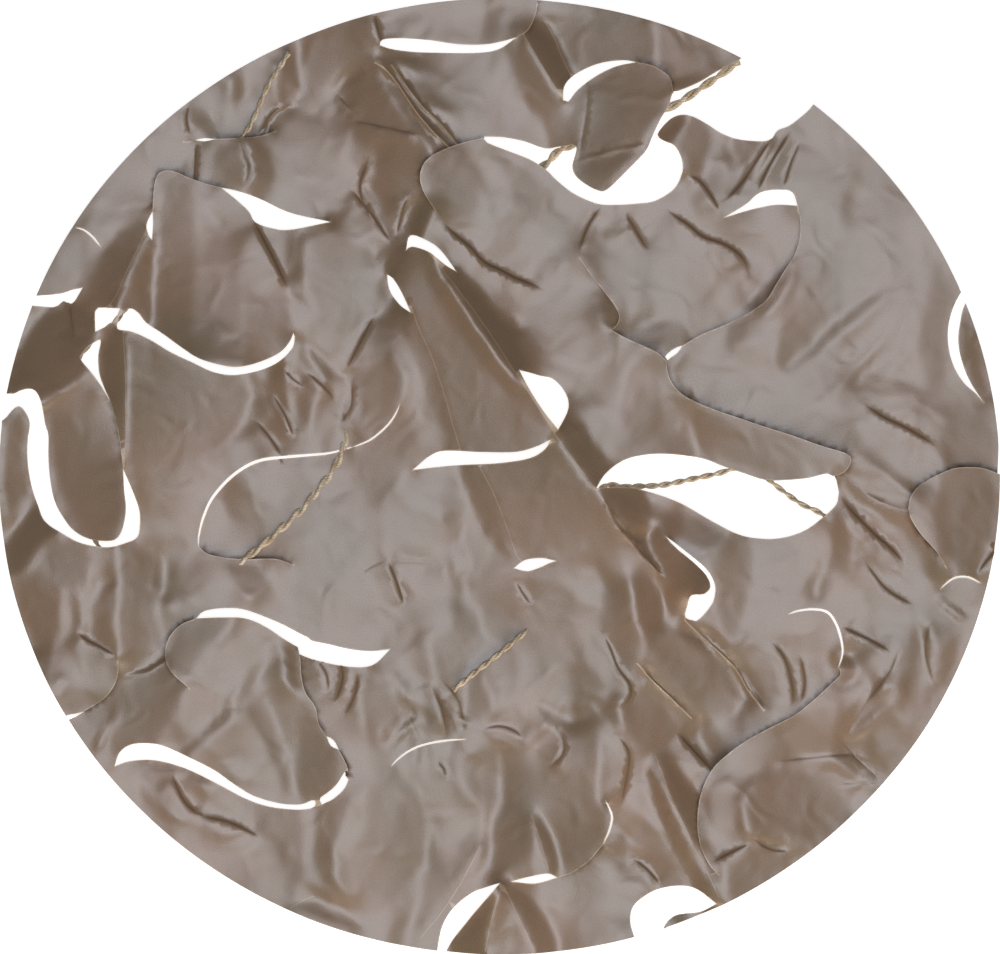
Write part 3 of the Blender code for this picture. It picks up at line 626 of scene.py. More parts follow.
        "near": [(-61, -110), (-60.4, -111.4), (-59, -110.7), (-56.3, -109.3), (-52.5, -105.6),
            (-50.8, -100.5), (-52.2, -99.8)],
        "farZ": (5, 6, 7, 7), "nearZ": (5, 3, 3.4, 4),
    },
    "bottomCrescent": {
        "far": [(3.9, -137.5), (10.4, -135.8), (16.5, -134.8), (19.6, -136.2)],
        "near": [(3.9, -137.5), (12.1, -138.2), (19.6, -136.2)],
        "farZ": (7, 4, 5, 6), "nearZ": (7, 4, 4),
    },
    "bottomEdgeOpening": {
        "far": [(-25.3, -172.9), (-21.6, -162.7), (-19.6, -153.2), (-15.8, -146.7), (-9.7, -141.6),
            (-4.9, -139.6), (0.2, -137.9)],
        "near": [(-20.2, -172.9), (-17.9, -161), (-10.7, -150.8), (-3.6, -142.3), (0.2, -137.9)],
        "farZ": (2, 2.5, 3, 4, 7), "nearZ": (3, 3, 4, 7),
    },
    "bottomRightHole": {
        "far": [(47.8, -164.4), (45.7, -156.2), (44.4, -150.8), (45.4, -146), (49.5, -142.3),
            (54.6, -139.9), (61.7, -138.9), (67.2, -140.2), (73.6, -145)],
        "near": [(52.9, -164.4), (55.6, -153.5), (59, -149.4), (63.1, -148.4), (68.5, -147.7),
            (73.6, -145)],
        "farZ": (2, 3, 4, 4, 5, 6), "nearZ": (1, 1.5, 4),
    },
    "lobeEndHole": {
        "far": [(56.3, -20.2), (58.7, -21.9), (61.4, -24), (64.8, -26.7), (69.2, -30.4), (71.9, -33.8),
            (73.3, -37.9), (72.6, -42.3), (70.6, -45.4), (68.5, -47.8), (66.8, -49.1)],
        "near": [(56.3, -20.2), (58, -22.3), (61, -25.2), (65.8, -29.1), (69.9, -33.3), (71.4, -37.2),
            (69.2, -39.8), (65.1, -40.3), (63.8, -43.7), (63.1, -47.8), (66.8, -49.1)],
        "farZ": (5, 5, 4.5, 4.5, 4, 5), "nearZ": (5, 4, 3, 2.2, 2.5, 4, 5),
    },
    "rightEdgeSlit": {
        "far": [(165.1, 75.3), (156.9, 62.7), (153.9, 56.6), (152.5, 50.8), (152.5, 44.7), (154.2, 37.9),
            (157.6, 32.1), (161.7, 28.4), (164.7, 25)],
        "near": [(166.8, 70.2), (158.6, 59.3), (156.6, 52.5), (155.9, 45.7), (157.2, 38.9), (160, 32.1),
            (164.7, 25)],
        "farZ": (2, 2.5, 2.5, 2), "nearZ": (1, 0.8, 0.8, 2),
    },
    "patchEdgeGap": {
        "far": [(-103.5, 114.2), (-100.1, 114.9), (-96.4, 114.6)],
        "near": [(-103.5, 114.2), (-100.1, 113.9), (-96.4, 114.6)],
        "farZ": (4, 3, 3), "nearZ": (4, 5, 5),
    },
    "leftFoldEyelet": {
        "far": [(-117.8, 89.9), (-118.8, 88.2), (-119.9, 85.2), (-119.2, 82.1), (-118, 80.4)],
        "near": [(-117.8, 89.9), (-117.7, 85.5), (-118, 80.4)],
        "farZ": (6, 4, 4, 8), "nearZ": (9.5, 9.5, 8),
    },
    "besideLobeGap": {
        "far": [(-58.7, -88.2), (-56.3, -89.6), (-54.6, -92.7)],
        "near": [(-58.7, -88.2), (-57.3, -91.3), (-54.6, -92.7)],
        "farZ": (4, 3.6, 4), "nearZ": (8, 8, 8),
    },
    "lobeTick": {
        "far": [(62.1, 44.4), (59.3, 43.7), (57.3, 41.7), (56.6, 38.9)],
        "near": [(62.1, 44.4), (60.4, 42), (58, 40.3), (56.6, 38.9)],
        "farZ": (4.4, 4, 5), "nearZ": (4.4, 3.8, 5),
    },
    "roundLobeTick": {
        "far": [(-152.8, -83.5), (-146.7, -81.1), (-144, -80.6), (-141.3, -79.9)],
        "near": [(-152.8, -85.5), (-146, -82.5), (-143.7, -81.4), (-141.3, -79.9)],
        "farZ": (5, 5, 5), "nearZ": (2.5, 2.5, 4),
    },
}
# narrow curved gaps: middle line, widest opening, and the heights on its left and right hand
thinGaps = {
    "leftArc": {"line": [(-144, 84.5), (-141.3, 83.8), (-138.2, 81.4), (-135.5, 78)], "width": 0.55,
        "left": 3.2, "right": 2.2},
    "lowerArc": {"line": [(-36.9, -98.4), (-33.8, -95.4), (-29.8, -92.7), (-25.3, -91), (-19.2, -89.8),
        (-11.4, -89.2)], "width": 0.6, "left": 3.2, "right": 5},
    "rightArc": {"line": [(98.1, -46.8), (101.2, -45.7), (106.3, -45.1), (111.4, -46.1), (114.4, -50.2),
        (116.1, -55.6), (116.5, -60.4), (115.1, -64.8)], "width": 0.8, "left": 4.6, "right": 3.2},
    "edgeLobeArc": {"line": [(149.8, -38.2), (152.2, -35.9), (155.2, -34.2), (159.3, -34.2),
        (163.4, -36.2)], "width": 0.6, "left": 4.2, "right": 3},
    "bottomArc": {"line": [(35.2, -124.6), (37.2, -120.2), (38.2, -115.8), (37.2, -112.4), (35.9, -110)],
        "width": 0.7, "left": 8, "right": 3.2},
    "tongueArc": {"line": [(-33.8, 24.3), (-35.9, 20.2), (-38.9, 16.5), (-44, 12.4), (-49.8, 10)],
        "width": 0.55, "left": 3, "right": 5},
    "tongueArcBelow": {"line": [(-49.8, 10), (-57.6, 8), (-64.4, 7.3), (-72.9, 6.6), (-80.8, 5.6),
        (-86.5, 3.2), (-92.3, -1.2), (-97.8, -7.7), (-100.8, -14.5), (-102.2, -20.6), (-102.2, -23.6)],
        "width": 0.95, "left": 1.4, "right": 5.2},
}
# closed cuts: x, y, and the height on the left and right hand; the lower side is tucked under the upper
cutEdges = {
    "patchEdgeLeft": {"line": [(-107.3, 113.7, 4.5, 4.5), (-103.5, 114.2, 4, 5)], "tuck": 1},
    "patchEdge": {"line": [(-96.4, 114.6, 3, 5), (-91.6, 114.8, 1.4, 5.4), (-86.2, 115.1, 0.9, 5.4),
        (-80.8, 115.8, 1.5, 5), (-76, 117.5, 3.8, 3.8)], "tuck": 2},
    "upperLobeTop": {"line": [(-94.4, 98.1, 8, 5), (-97.4, 98.8, 9, 4.6), (-101.8, 100.1, 9.5, 4.2),
        (-105.6, 101.5, 9.8, 4), (-109.3, 103.2, 10, 4), (-112.7, 103.9, 10, 4), (-115.8, 102.9, 10, 4),
        (-117.1, 99.5, 10, 4), (-117.6, 95, 9.8, 4), (-117.8, 90.6, 9.5, 5)], "tuck": 2.2},
    "topLobeEnd": {"line": [(6, 149.1, 6, 5), (9.4, 151.1, 6.5, 3.8), (11.4, 154.5, 6.5, 3.5),
        (12.8, 159.3, 6, 3.5), (13.4, 166.1, 5, 3.5)], "tuck": 2},
    "hangingLobeEdge": {"line": [(46.4, 140.6, 7, 11), (51.2, 139.6, 6.5, 13), (55.3, 137.5, 6.5, 14),
        (58, 134.8, 6.5, 14), (59, 129.4, 6, 13)], "tuck": 2.5},
    "upperPatchEdge": {"line": [(-4.6, 115.1, 6, 5.5), (-10, 113.9, 7.5, 5), (-15.1, 112.4, 8, 4.6),
        (-20.2, 110.3, 8.5, 4.4), (-23.6, 108.3, 8.5, 4.2), (-26, 105.6, 8.5, 4.2), (-27, 101.5, 8.5, 4.2),
        (-26, 97.1, 8.5, 4.2), (-23.6, 93, 8, 4.4), (-21.2, 89.6, 7, 5), (-18.5, 85.9, 5.8, 5.8)],
        "tuck": 2.5},
    "overTongueEnd": {"line": [(27, 74.3, 4.6, 4.6), (31.1, 68.2, 5.2, 4.2), (34.2, 64.4, 5.2, 4),
        (36.9, 61, 5.2, 3.8), (39.3, 57.6, 5.2, 3.8), (40.6, 54.6, 5.2, 3.8), (40, 51.9, 5, 4),
        (37.9, 49.8, 5, 5)], "tuck": 2.5},
    "flapTopEdge": {"line": [(37.9, 49.8, 5, 5), (42.7, 47.1, 4.2, 6.5), (49.5, 44, 4, 7.5),
        (53.6, 42, 4, 7.5), (56.6, 39.3, 4.5, 7.5)], "tuck": 2.5},
    "flapLongEdge": {"line": [(56.6, 39.3, 4.5, 7.5), (57, 36.2, 4.2, 8), (58, 32.8, 4, 8.5),
        (60.7, 29.1, 3.9, 9.5), (64.8, 26.2, 3.9, 10.5), (73.3, 22.6, 3.9, 11.2), (81.8, 19.7, 3.9, 11.5),
        (90.3, 16.8, 3.8, 11.5), (98.8, 14.1, 3.6, 11), (109, 10.5, 3.4, 10), (117.8, 7.7, 3.2, 8.5),
        (119.2, 4.9, 3.2, 7.5), (117.1, 1.5, 3.2, 6.5), (113.7, 0.2, 3.2, 5.2), (110.3, -0.2, 3.4, 5)],
        "tuck": 3},
    "rightLobeEdge": {"line": [(101.2, 92, 4, 4.5), (102.2, 85.9, 4.8, 3.8), (101.8, 80.4, 5, 3.6),
        (100.1, 75, 5, 3.4), (97.4, 70.9, 5, 3.4), (94.4, 66.1, 5, 3.4), (90.6, 60, 4.8, 3.4),
        (85.2, 55.9, 4.6, 3.6), (80.1, 53.2, 4.4, 3.6), (75, 50.8, 4.4, 3.6), (69.2, 48.5, 4.4, 3.6),
        (64.8, 46.1, 4.4, 3.8), (62.1, 44.4, 4.2, 4.2)], "tuck": 1.2},
    "bigLobeEdge": {"line": [(-69.2, -55.6, 3.6, 6.5), (-67.8, -60.7, 3.4, 7.5), (-67.2, -67.8, 3.4, 8),
        (-65.8, -73.3, 3.4, 8.5), (-62.4, -78.4, 3.4, 8.5), (-61.4, -83.8, 3.4, 8.5),
        (-58.7, -88.2, 3.8, 8)], "tuck": 3},
    "bigLobeEdgeLow": {"line": [(-54.6, -92.7, 4, 8), (-52.9, -95.7, 4, 7.5), (-51.5, -99.1, 4.5, 7),
        (-51.5, -102.5, 4, 6)], "tuck": 1.5},
    "fourLobeEdge": {"line": [(115.1, -64.8, 4.6, 3.4), (115.8, -67.2, 4.95, 3.45),
        (112.4, -70.6, 5.1, 3.6), (107.3, -75.3, 5.15, 3.65), (100.5, -80.8, 5.25, 3.75),
        (92, -85.2, 5.25, 3.75), (83.5, -89.9, 5.35, 3.85), (76.7, -94.9, 5.5, 4),
        (72.2, -99.5, 5.75, 4.25), (69.2, -105.2, 5.75, 4.25), (67.5, -112, 5.65, 4.15),
        (67.2, -119.5, 5.4, 3.9), (68.5, -126.3, 5, 3.5), (71.2, -131.8, 4.5, 3.4), (74.3, -135.2, 4, 4)],
        "tuck": 2},
    "edgeLobe": {"line": [(172.9, -0.5, 6, 4), (165.1, 2.6, 7, 4), (160, 3.2, 7.2, 3.8),
        (154.9, 2.9, 7.2, 3.6), (150.8, 1.5, 7, 3.4), (146, -0.9, 6.8, 3.4), (141.6, -3.9, 6.5, 3.4),
        (139.1, -8, 6.2, 3.4), (139.2, -13.4, 6, 3.4), (143, -19.6, 5.6, 3.4), (148.1, -25.3, 5, 3.4),
        (151.8, -31.1, 4, 4)], "tuck": 2.2},
    "smallDarkLobe": {"line": [(-102.9, -48.1, 6, 5), (-108, -50.2, 6.8, 4), (-111.7, -53.9, 7, 3.8),
        (-113.4, -58.3, 7, 3.8), (-113.1, -63.1, 6.8, 3.6), (-110.3, -67.5, 6, 4),
        (-105.2, -71.9, 4.6, 4.6)], "tuck": 1.8},
    "roundLobe": {"line": [(-129.4, -62.4, 4.5, 4.5), (-129.4, -66.5, 3.4, 5.2), (-130.7, -70.9, 3, 5.6),
        (-133.8, -75, 3, 5.8), (-137.5, -77.7, 2.8, 5.8), (-141.3, -79.9, 2.8, 5.5)], "tuck": 2},
    "bottomLobe": {"line": [(19.6, -136.2, 6, 4), (24.7, -134.5, 8, 3.4), (30.1, -130.7, 8.5, 3.2),
        (33.2, -127.3, 8.5, 3.2), (35.2, -124.6, 8.5, 3.2)], "tuck": 2},
    "underTongue": {"line": [(-102.2, -23.6, 2, 5), (-99.5, -26, 1, 5.4), (-94.4, -27.4, 0.9, 5.5),
        (-86.5, -28.1, 0.85, 5.6), (-80.8, -27.9, 0.9, 5.4), (-75.3, -28.1, 2, 4.8),
        (-69.9, -30.1, 3.6, 3.6)], "tuck": 2.5},
    "uprightOverTongue": {"line": [(-132.1, 25.7, 7.5, 5.8), (-130.7, 20.9, 8.6, 5.4),
        (-129.4, 15.1, 8.6, 5.2), (-128.4, 9, 8, 5.2), (-127.7, 2.6, 6, 6)], "tuck": 2.2},
}
# ridges of folds and the feet of their slopes: x, y and height
foldLines = {
    "lowRidge": [(10.7, -114.4, 6), (12.4, -119.5, 6.4), (14.8, -127, 6.6), (16.8, -134.5, 6.8)],
    "flapSeam": [(-6.6, -125.6, 5), (-10, -132.4, 5), (-15.1, -141.3, 5), (-20.2, -148.8, 4),
        (-27, -156.9, 3)],
    "bottomRidge": [(-70.9, -146.4, 2), (-66.8, -144, 2.6), (-63.1, -142.6, 3)],
    "topRidgeA": [(8.7, 149.1, 7), (13.1, 141.6, 7.4), (17.9, 133.5, 7), (21.2, 128, 6)],
    "topRidgeB": [(16.5, 154.5, 4.5), (19.2, 147.7, 4.4), (21.9, 140.9, 4.4), (24.7, 135.5, 4.4)],
    "leftUpright": [(-131.4, -23.3, 6), (-131.1, -38.6, 6.5), (-130.7, -48.8, 6.5), (-130.1, -61.4, 6)],
    "mainRidge": [(-24.3, 76.3, 10), (-16.2, 66.1, 13.5), (-8, 55.3, 15.5), (-0.5, 44.4, 16),
        (6.6, 33.2, 16), (12.4, 24.3, 15.6), (18.5, 14.8, 15), (25.7, 4.9, 14.5), (32.8, -4.9, 14),
        (42.7, -18.2, 12.5), (50.2, -27.4, 10.5), (55.9, -33.2, 8)],
    "pleatFoot": [(-14.5, 69.5, 5), (-10, 65.8, 4.6), (-3.6, 60.7, 4.6), (1.2, 55.9, 4.6), (5.6, 51.2, 4.6),
        (6, 45.1, 4.6), (7.3, 40.3, 5)],
    "headLeft": [(-32.5, 72.9, 7), (-35.2, 69.5, 7), (-33.2, 65.1, 7.5), (-30.4, 59.3, 7)],
    "facetEdge": [(-30.4, 60, 7), (-29.1, 55.3, 7), (-26.7, 48.8, 7), (-22.6, 39.6, 7.2), (-18.5, 27, 7.2),
        (-15.8, 17.5, 7), (-13.4, 9.4, 7)],
    "facetFoot": [(-32.5, 49.8, 3.6), (-29.1, 41.3, 3.6), (-24.7, 29.4, 3.6), (-21.2, 17.5, 3.6),
        (-19.9, 9.7, 3.8)],
    "facetEdgeLow": [(-6.6, 2.9, 6.6), (-1.9, -6, 6.4), (2.2, -16.5, 6), (6, -27.4, 5.4)],
    "facetFootLow": [(-13.4, -0.5, 3.6), (-9.4, -9.7, 3.6), (-4.6, -19.2, 3.6), (0.9, -28.4, 3.8)],
    "rightFoot": [(24.7, 18.5, 5.5), (29.4, 12.4, 5), (34.2, 6.3, 4.8)],
    "underRidgeFoot": [(41.7, -6, 4.6), (46.4, -12.1, 4.2), (51.2, -19.9, 4), (55.3, -27, 4)],
    "upperLobeRidge": [(-118.2, 79.4, 8.6), (-118.5, 70.2, 8.6), (-118.8, 60, 8.2), (-119.2, 53.2, 7.4)],
    "uprightRidge": [(-127.7, 48.5, 8.4), (-127, 39.6, 9), (-126.7, 26, 9.2), (-126.7, 12.4, 8.6),
        (-127.3, 3.6, 6.4)],
    "bandRidge": [(-120.2, 83.1, 7), (-123.3, 76.3, 8), (-126.7, 69.2, 8), (-130.1, 61.4, 7.6),
        (-133.1, 57.3, 6.5)],
    "bandFoot": [(-125.6, 86.5, 3.2), (-130.1, 79.4, 2.6), (-134.8, 70.9, 2.4), (-138.6, 62.1, 2.4),
        (-142.6, 53.9, 2.4)],
    "bandValley": [(-119.5, 72.9, 6), (-122.2, 63.4, 5), (-125, 58.3, 6)],
    "bigLobeRidge": [(-107.6, -92, 6.4), (-101.8, -87.2, 6.8), (-96.4, -82.5, 6.8), (-91, -78, 6)],
    "pleatRidge": [(52.9, -95, 4), (55.3, -101.2, 6), (58, -108.6, 7.6), (62.4, -119.5, 8.6),
        (65.5, -127.3, 8.4), (70.2, -133.8, 7.6), (74.3, -142.6, 6)],
    "pleatRidgeLeft": [(50.5, -97.1, 3.4), (52.9, -104.9, 3.6), (55.9, -114.1, 3.8), (59.3, -124.3, 4),
        (63.4, -134.5, 4.4)],
    "tentLeft": [(1.2, -138.6, 8), (-0.9, -144, 8), (-2.9, -151.5, 7.4), (-5.3, -163, 6)],
    "tentRight": [(1.2, -138.6, 8), (3.6, -143.3, 8), (7, -150.8, 7.4), (12.8, -163, 6)],
    "tentMiddle": [(1.5, -145.7, 6.6), (2.2, -152.5, 4.4), (3.2, -163, 2.4)],
}
# folds that get a painted highlight along their ridges
highlightedFolds = ["mainRidge", "facetEdge", "facetEdgeLow", "uprightRidge", "pleatRidge", "tentLeft",
    "tentRight", "lowRidge", "flapSeam", "bottomRidge", "topRidgeA", "topRidgeB", "bandRidge"]
# small creases: the line, how high and how wide the cloth swells on its left and on its right hand,
# and whether a painted highlight runs along it
# (the signs of some heights were turned round, by the way the crease faces); small creases: the
# line, how high and how wide the cloth swells on its left and on its right hand, and whether its
# coating has worn light (a script turned the signs of some heights round, by the way the crease
# faces)
creaseRows = [
    ([(47.1, -63.8), (51.2, -68.5), (57.3, -74.3), (65.1, -82.1)], (-2.2, 2), (-0.8, 3), True),
    ([(60.4, -86.9), (66.1, -93.3), (71.6, -99.5)], (-1.4, 6), (1.2, 8), False),
    ([(115.8, -7.3), (120.9, -13.1), (127.7, -19.9), (132.8, -24.3), (137.9, -30.1)], (-1.4, 4), (1.4, 5),
        False),
    ([(122.6, -4.6), (130.7, -9), (138.9, -12.8)], (-0.5, 6), (0.5, 5), False),
    ([(63.1, -49.1), (68.9, -54.6), (75, -60), (80.4, -65.5), (84.5, -72.6), (89.2, -78.7)], (-2, 2),
        (-0.8, 3), True),
    ([(81.1, -64.4), (85.2, -69.9), (88.6, -76), (91.3, -78.7)], (-0.5, 3), (0.9, 3), False),
    ([(-41.7, 140.2), (-37.9, 137.5), (-34.5, 133.1), (-31.1, 128), (-27, 122.2), (-22.3, 117.1),
        (-17.5, 113.4)], (-2.2, 3), (-2.6, 2.5), True),
    ([(-36.6, 139.6), (-33.2, 134.8), (-29.8, 130.1), (-25, 124.3), (-19.6, 119.2), (-14.1, 113.7)],
        (-1.8, 2.5), (-0.9, 3), True),
    ([(92, -55.6), (97.1, -62.4), (99.5, -72.6), (98.1, -78)], (-0.9, 4), (0.7, 5), False),
    ([(102.2, -60.7), (103.5, -69.2), (101.5, -76.7)], (0.7, 4), (-0.8, 4), False),
    ([(-6, -85.9), (0.2, -84.8), (5.3, -86.5), (8.3, -89.6)], (-0.6, 5), (0.8, 5), False),
    ([(-21.2, -97.1), (-18.9, -99.1), (-18.2, -102.5)], (-0.6, 3), (0.6, 3), False),
    ([(41, -18.2), (47.8, -26), (57.3, -35.9)], (-1, 3), (-1, 3), False),
    ([(35.9, -8), (40, -16.5), (47.8, -23.3)], (-0.8, 3), (0.6, 3), False),
    ([(93.7, 116.8), (87.6, 107.6), (81.8, 99.1), (75.7, 93)], (0.9, 4), (-0.9, 5), False),
    ([(30.1, 133.5), (29.8, 124.6), (28.4, 116.1), (26.7, 108.3)], (0.3, 3), (0.3, 3), False),
    ([(115.1, -104.6), (120.9, -104.2), (125.3, -103.9), (129.4, -105.6)], (-0.3, 5), (0.4, 5), False),
    ([(-74.3, 37.6), (-70.6, 33.5), (-66.1, 30.1)], (-0.8, 4), (0.8, 4), False),
    ([(-78, 29.4), (-72.9, 20.9), (-69.5, 12.4)], (-1.1, 4), (1, 5), False),
    ([(5.6, -35.2), (7.7, -39.3), (11.1, -44)], (-0.8, 4), (0.8, 5), False),
    ([(-54.9, 129.7), (-52.5, 126.7), (-50.2, 124.6)], (-0.7, 4), (0.7, 4), False),
    ([(-50.8, 121.2), (-38.9, 118.5), (-27, 115.8)], (-0.5, 5), (0.7, 5), False),
    ([(123.3, -27.7), (130.1, -36.9), (135.5, -41), (141.3, -43.7)], (-0.7, 8), (0.9, 4), False),
    ([(115.8, -50.8), (120.9, -53.2), (126, -55.6), (133.1, -59.7)], (-0.8, 4), (1.1, 3), False),
    ([(123.6, 24.7), (130.4, 20.2), (136.2, 17.5), (141.6, 14.5), (148.1, 10.4)], (-0.9, 7), (1, 5), False),
    ([(62.4, 102.5), (67.8, 100.5), (72.9, 93.7), (74.6, 89.2)], (-0.9, 4), (1.1, 4), False),
    ([(55.9, 91.6), (60, 88.2), (64.1, 85.5), (69.2, 81.4), (76.7, 78.7), (82.5, 74.3), (84.8, 68.2)],
        (-1.2, 5), (0.9, 7), False),
    ([(98.8, 117.1), (94.4, 110.3), (89.9, 102.2), (87.6, 96.1)], (0.9, 5), (-0.8, 4), False),
    ([(102.5, 114.4), (98.8, 105.9), (96.4, 97.4)], (0.7, 6), (-0.7, 5), False),
    ([(42.7, 89.9), (45.7, 84.5), (50.2, 77)], (-0.8, 4), (0.7, 4), False),
    ([(-21.2, 89.2), (-16.2, 83.1), (-10, 78), (-5.3, 72.9), (0.2, 70.2), (5.3, 67.5), (10.4, 65.5),
        (16.5, 62.4)], (-0.9, 7), (1.6, 4), False),
    ([(-82.8, 116.5), (-78.7, 121.6), (-74, 125.6), (-68.2, 127.7)], (-1.2, 5), (-1.4, 3), False),
    ([(-42.3, 156.6), (-41.3, 151.8), (-40, 147.1)], (-1.2, 5), (1, 5), False),
    ([(-83.8, 87.6), (-80.8, 81.8), (-77.4, 75.3), (-74.3, 68.9), (-71.6, 63.4)], (-1.8, 7), (1.8, 6),
        False),
    ([(-105.6, 126.3), (-106.3, 121.2), (-105.2, 116.5)], (0.6, 4), (-0.9, 4), False),
    ([(-103.2, 113.4), (-103.2, 107.6), (-102.9, 101.5)], (0.9, 3), (0.9, 4), False),
    ([(-88.9, 115.8), (-85.9, 109.3), (-84.5, 104.2), (-86.2, 97.4)], (1.2, 8), (1, 5), False),
    ([(-36.6, -28.4), (-30.4, -28.6), (-21.9, -29.1)], (-0.5, 3), (-0.2, 4), False),
    ([(-38.2, -28.4), (-35.2, -35.2), (-32.5, -44)], (-0.9, 3), (1.2, 4), False),
    ([(-38.2, -28.7), (-42.7, -30.4), (-46.8, -33.2)], (0.3, 3), (-0.3, 4), False),
    ([(45.1, -129.7), (49.8, -133.1), (54.6, -138.6)], (-1.2, 4), (0.8, 6), False),
    ([(72.6, -130.7), (79.1, -127.3), (85.9, -124.3)], (-0.9, 5), (0.7, 5), False),
    ([(86.5, -122.9), (89.2, -125.3), (93.3, -127), (98.8, -127.3)], (-1.3, 4), (0.9, 5), False),
    ([(-144, -52.2), (-139.9, -55.6), (-135.8, -57.6), (-129.7, -61.4)], (-1, 4), (0.9, 5), False),
    ([(-127.7, -68.5), (-122.9, -67.2), (-118.8, -65.8), (-113.7, -61.4)], (-1.2, 4), (-0.6, 4), False),
    ([(162, -33.5), (165.1, -29.1), (168.5, -24.7)], (-0.9, 4), (0.9, 4), False),
    ([(34.2, -51.5), (37.6, -58.3), (40.3, -65.1), (44.4, -70.9), (43.7, -76), (38.2, -79.1)], (-1, 5),
        (0.9, 6), False),
    ([(19.2, -84.8), (21.6, -89.6), (21.2, -94.4), (16.5, -99.1)], (0.9, 5), (0.9, 5), False),
    ([(38.9, -87.2), (43, -91.6), (44, -97.1), (41.3, -111.4)], (-0.9, 5), (0.9, 5), False),
    ([(-31.5, -76), (-29.8, -82.8), (-26, -90.3)], (-0.5, 4), (0.4, 4), False),
    ([(-23, -72.6), (-19.6, -78.7), (-17.9, -87.9)], (-0.5, 4), (0.4, 4), False),
    ([(-20.2, -68.5), (-14.1, -76), (-11.7, -86.2)], (-0.3, 4), (0.4, 4), False),
    ([(-61.7, -61), (-58.7, -66.5), (-57.3, -73.3)], (-0.9, 3), (0.8, 3), False),
    ([(-54.2, -62.4), (-53.2, -68.5), (-55.3, -76.7)], (0.8, 3), (-0.9, 3), False),
    ([(-48.1, -66.5), (-48.8, -73.3), (-52.2, -80.8)], (0.6, 3), (-0.7, 3), False),
    ([(34.2, 91.6), (29.8, 84.5), (27, 76.3)], (0.8, 3), (-0.8, 3), False),
    ([(-111.4, -101.2), (-107.3, -110), (-101.8, -115.4)], (-1.2, 5), (0.7, 6), False),
    ([(-101.8, -115.4), (-91.6, -117.5), (-80.8, -122.9)], (-0.7, 6), (0.7, 5), False),
    ([(26.4, 106.9), (33.5, 109), (41.7, 111), (51.2, 112.7)], (-0.5, 3), (-0.6, 3), False),
    ([(-146, 59), (-145.4, 53.2), (-144.3, 47.1)], (0.9, 4), (-1.2, 4), False),
    ([(-52.5, 35.5), (-46.8, 46.4), (-42, 55.9)], (-0.8, 5), (0.7, 5), False),
    ([(-65.8, 35.5), (-60.4, 31.1), (-55.9, 26)], (-0.8, 4), (0.8, 4), False),
    ([(-83.1, 19.2), (-77.4, 12.4), (-73.6, 6.3)], (-0.8, 4), (0.9, 4), False),
    ([(-54.2, 17.5), (-50.2, 24.3), (-50.2, 32.8)], (-0.8, 5), (0.6, 5), False),
    ([(136.2, -55.6), (132.8, -65.8), (125.3, -76), (119.2, -85.5)], (0.4, 7), (-0.4, 6), False),
    ([(146.4, -48.8), (144.7, -59), (148.1, -72.6)], (0.4, 6), (-0.4, 6), False),
    ([(92, -97.1), (105.6, -95.7), (119.2, -94.7), (128.7, -97.1)], (-0.4, 6), (0.4, 6), False),
    ([(115.8, -89.6), (121.9, -96.4), (130.1, -103.9)], (-0.7, 6), (0.8, 6), False),
    ([(-50.8, 97.4), (-43.4, 88.9), (-36.6, 78.7)], (-0.9, 5), (0.8, 5), False),
    ([(-44.7, 107.6), (-47.4, 97.4), (-43.4, 86.5)], (0.9, 5), (-0.8, 5), False),
    ([(-32.1, 95.7), (-33.2, 88.9), (-35.2, 81.1)], (-1.1, 4), (0.9, 4), False),
]
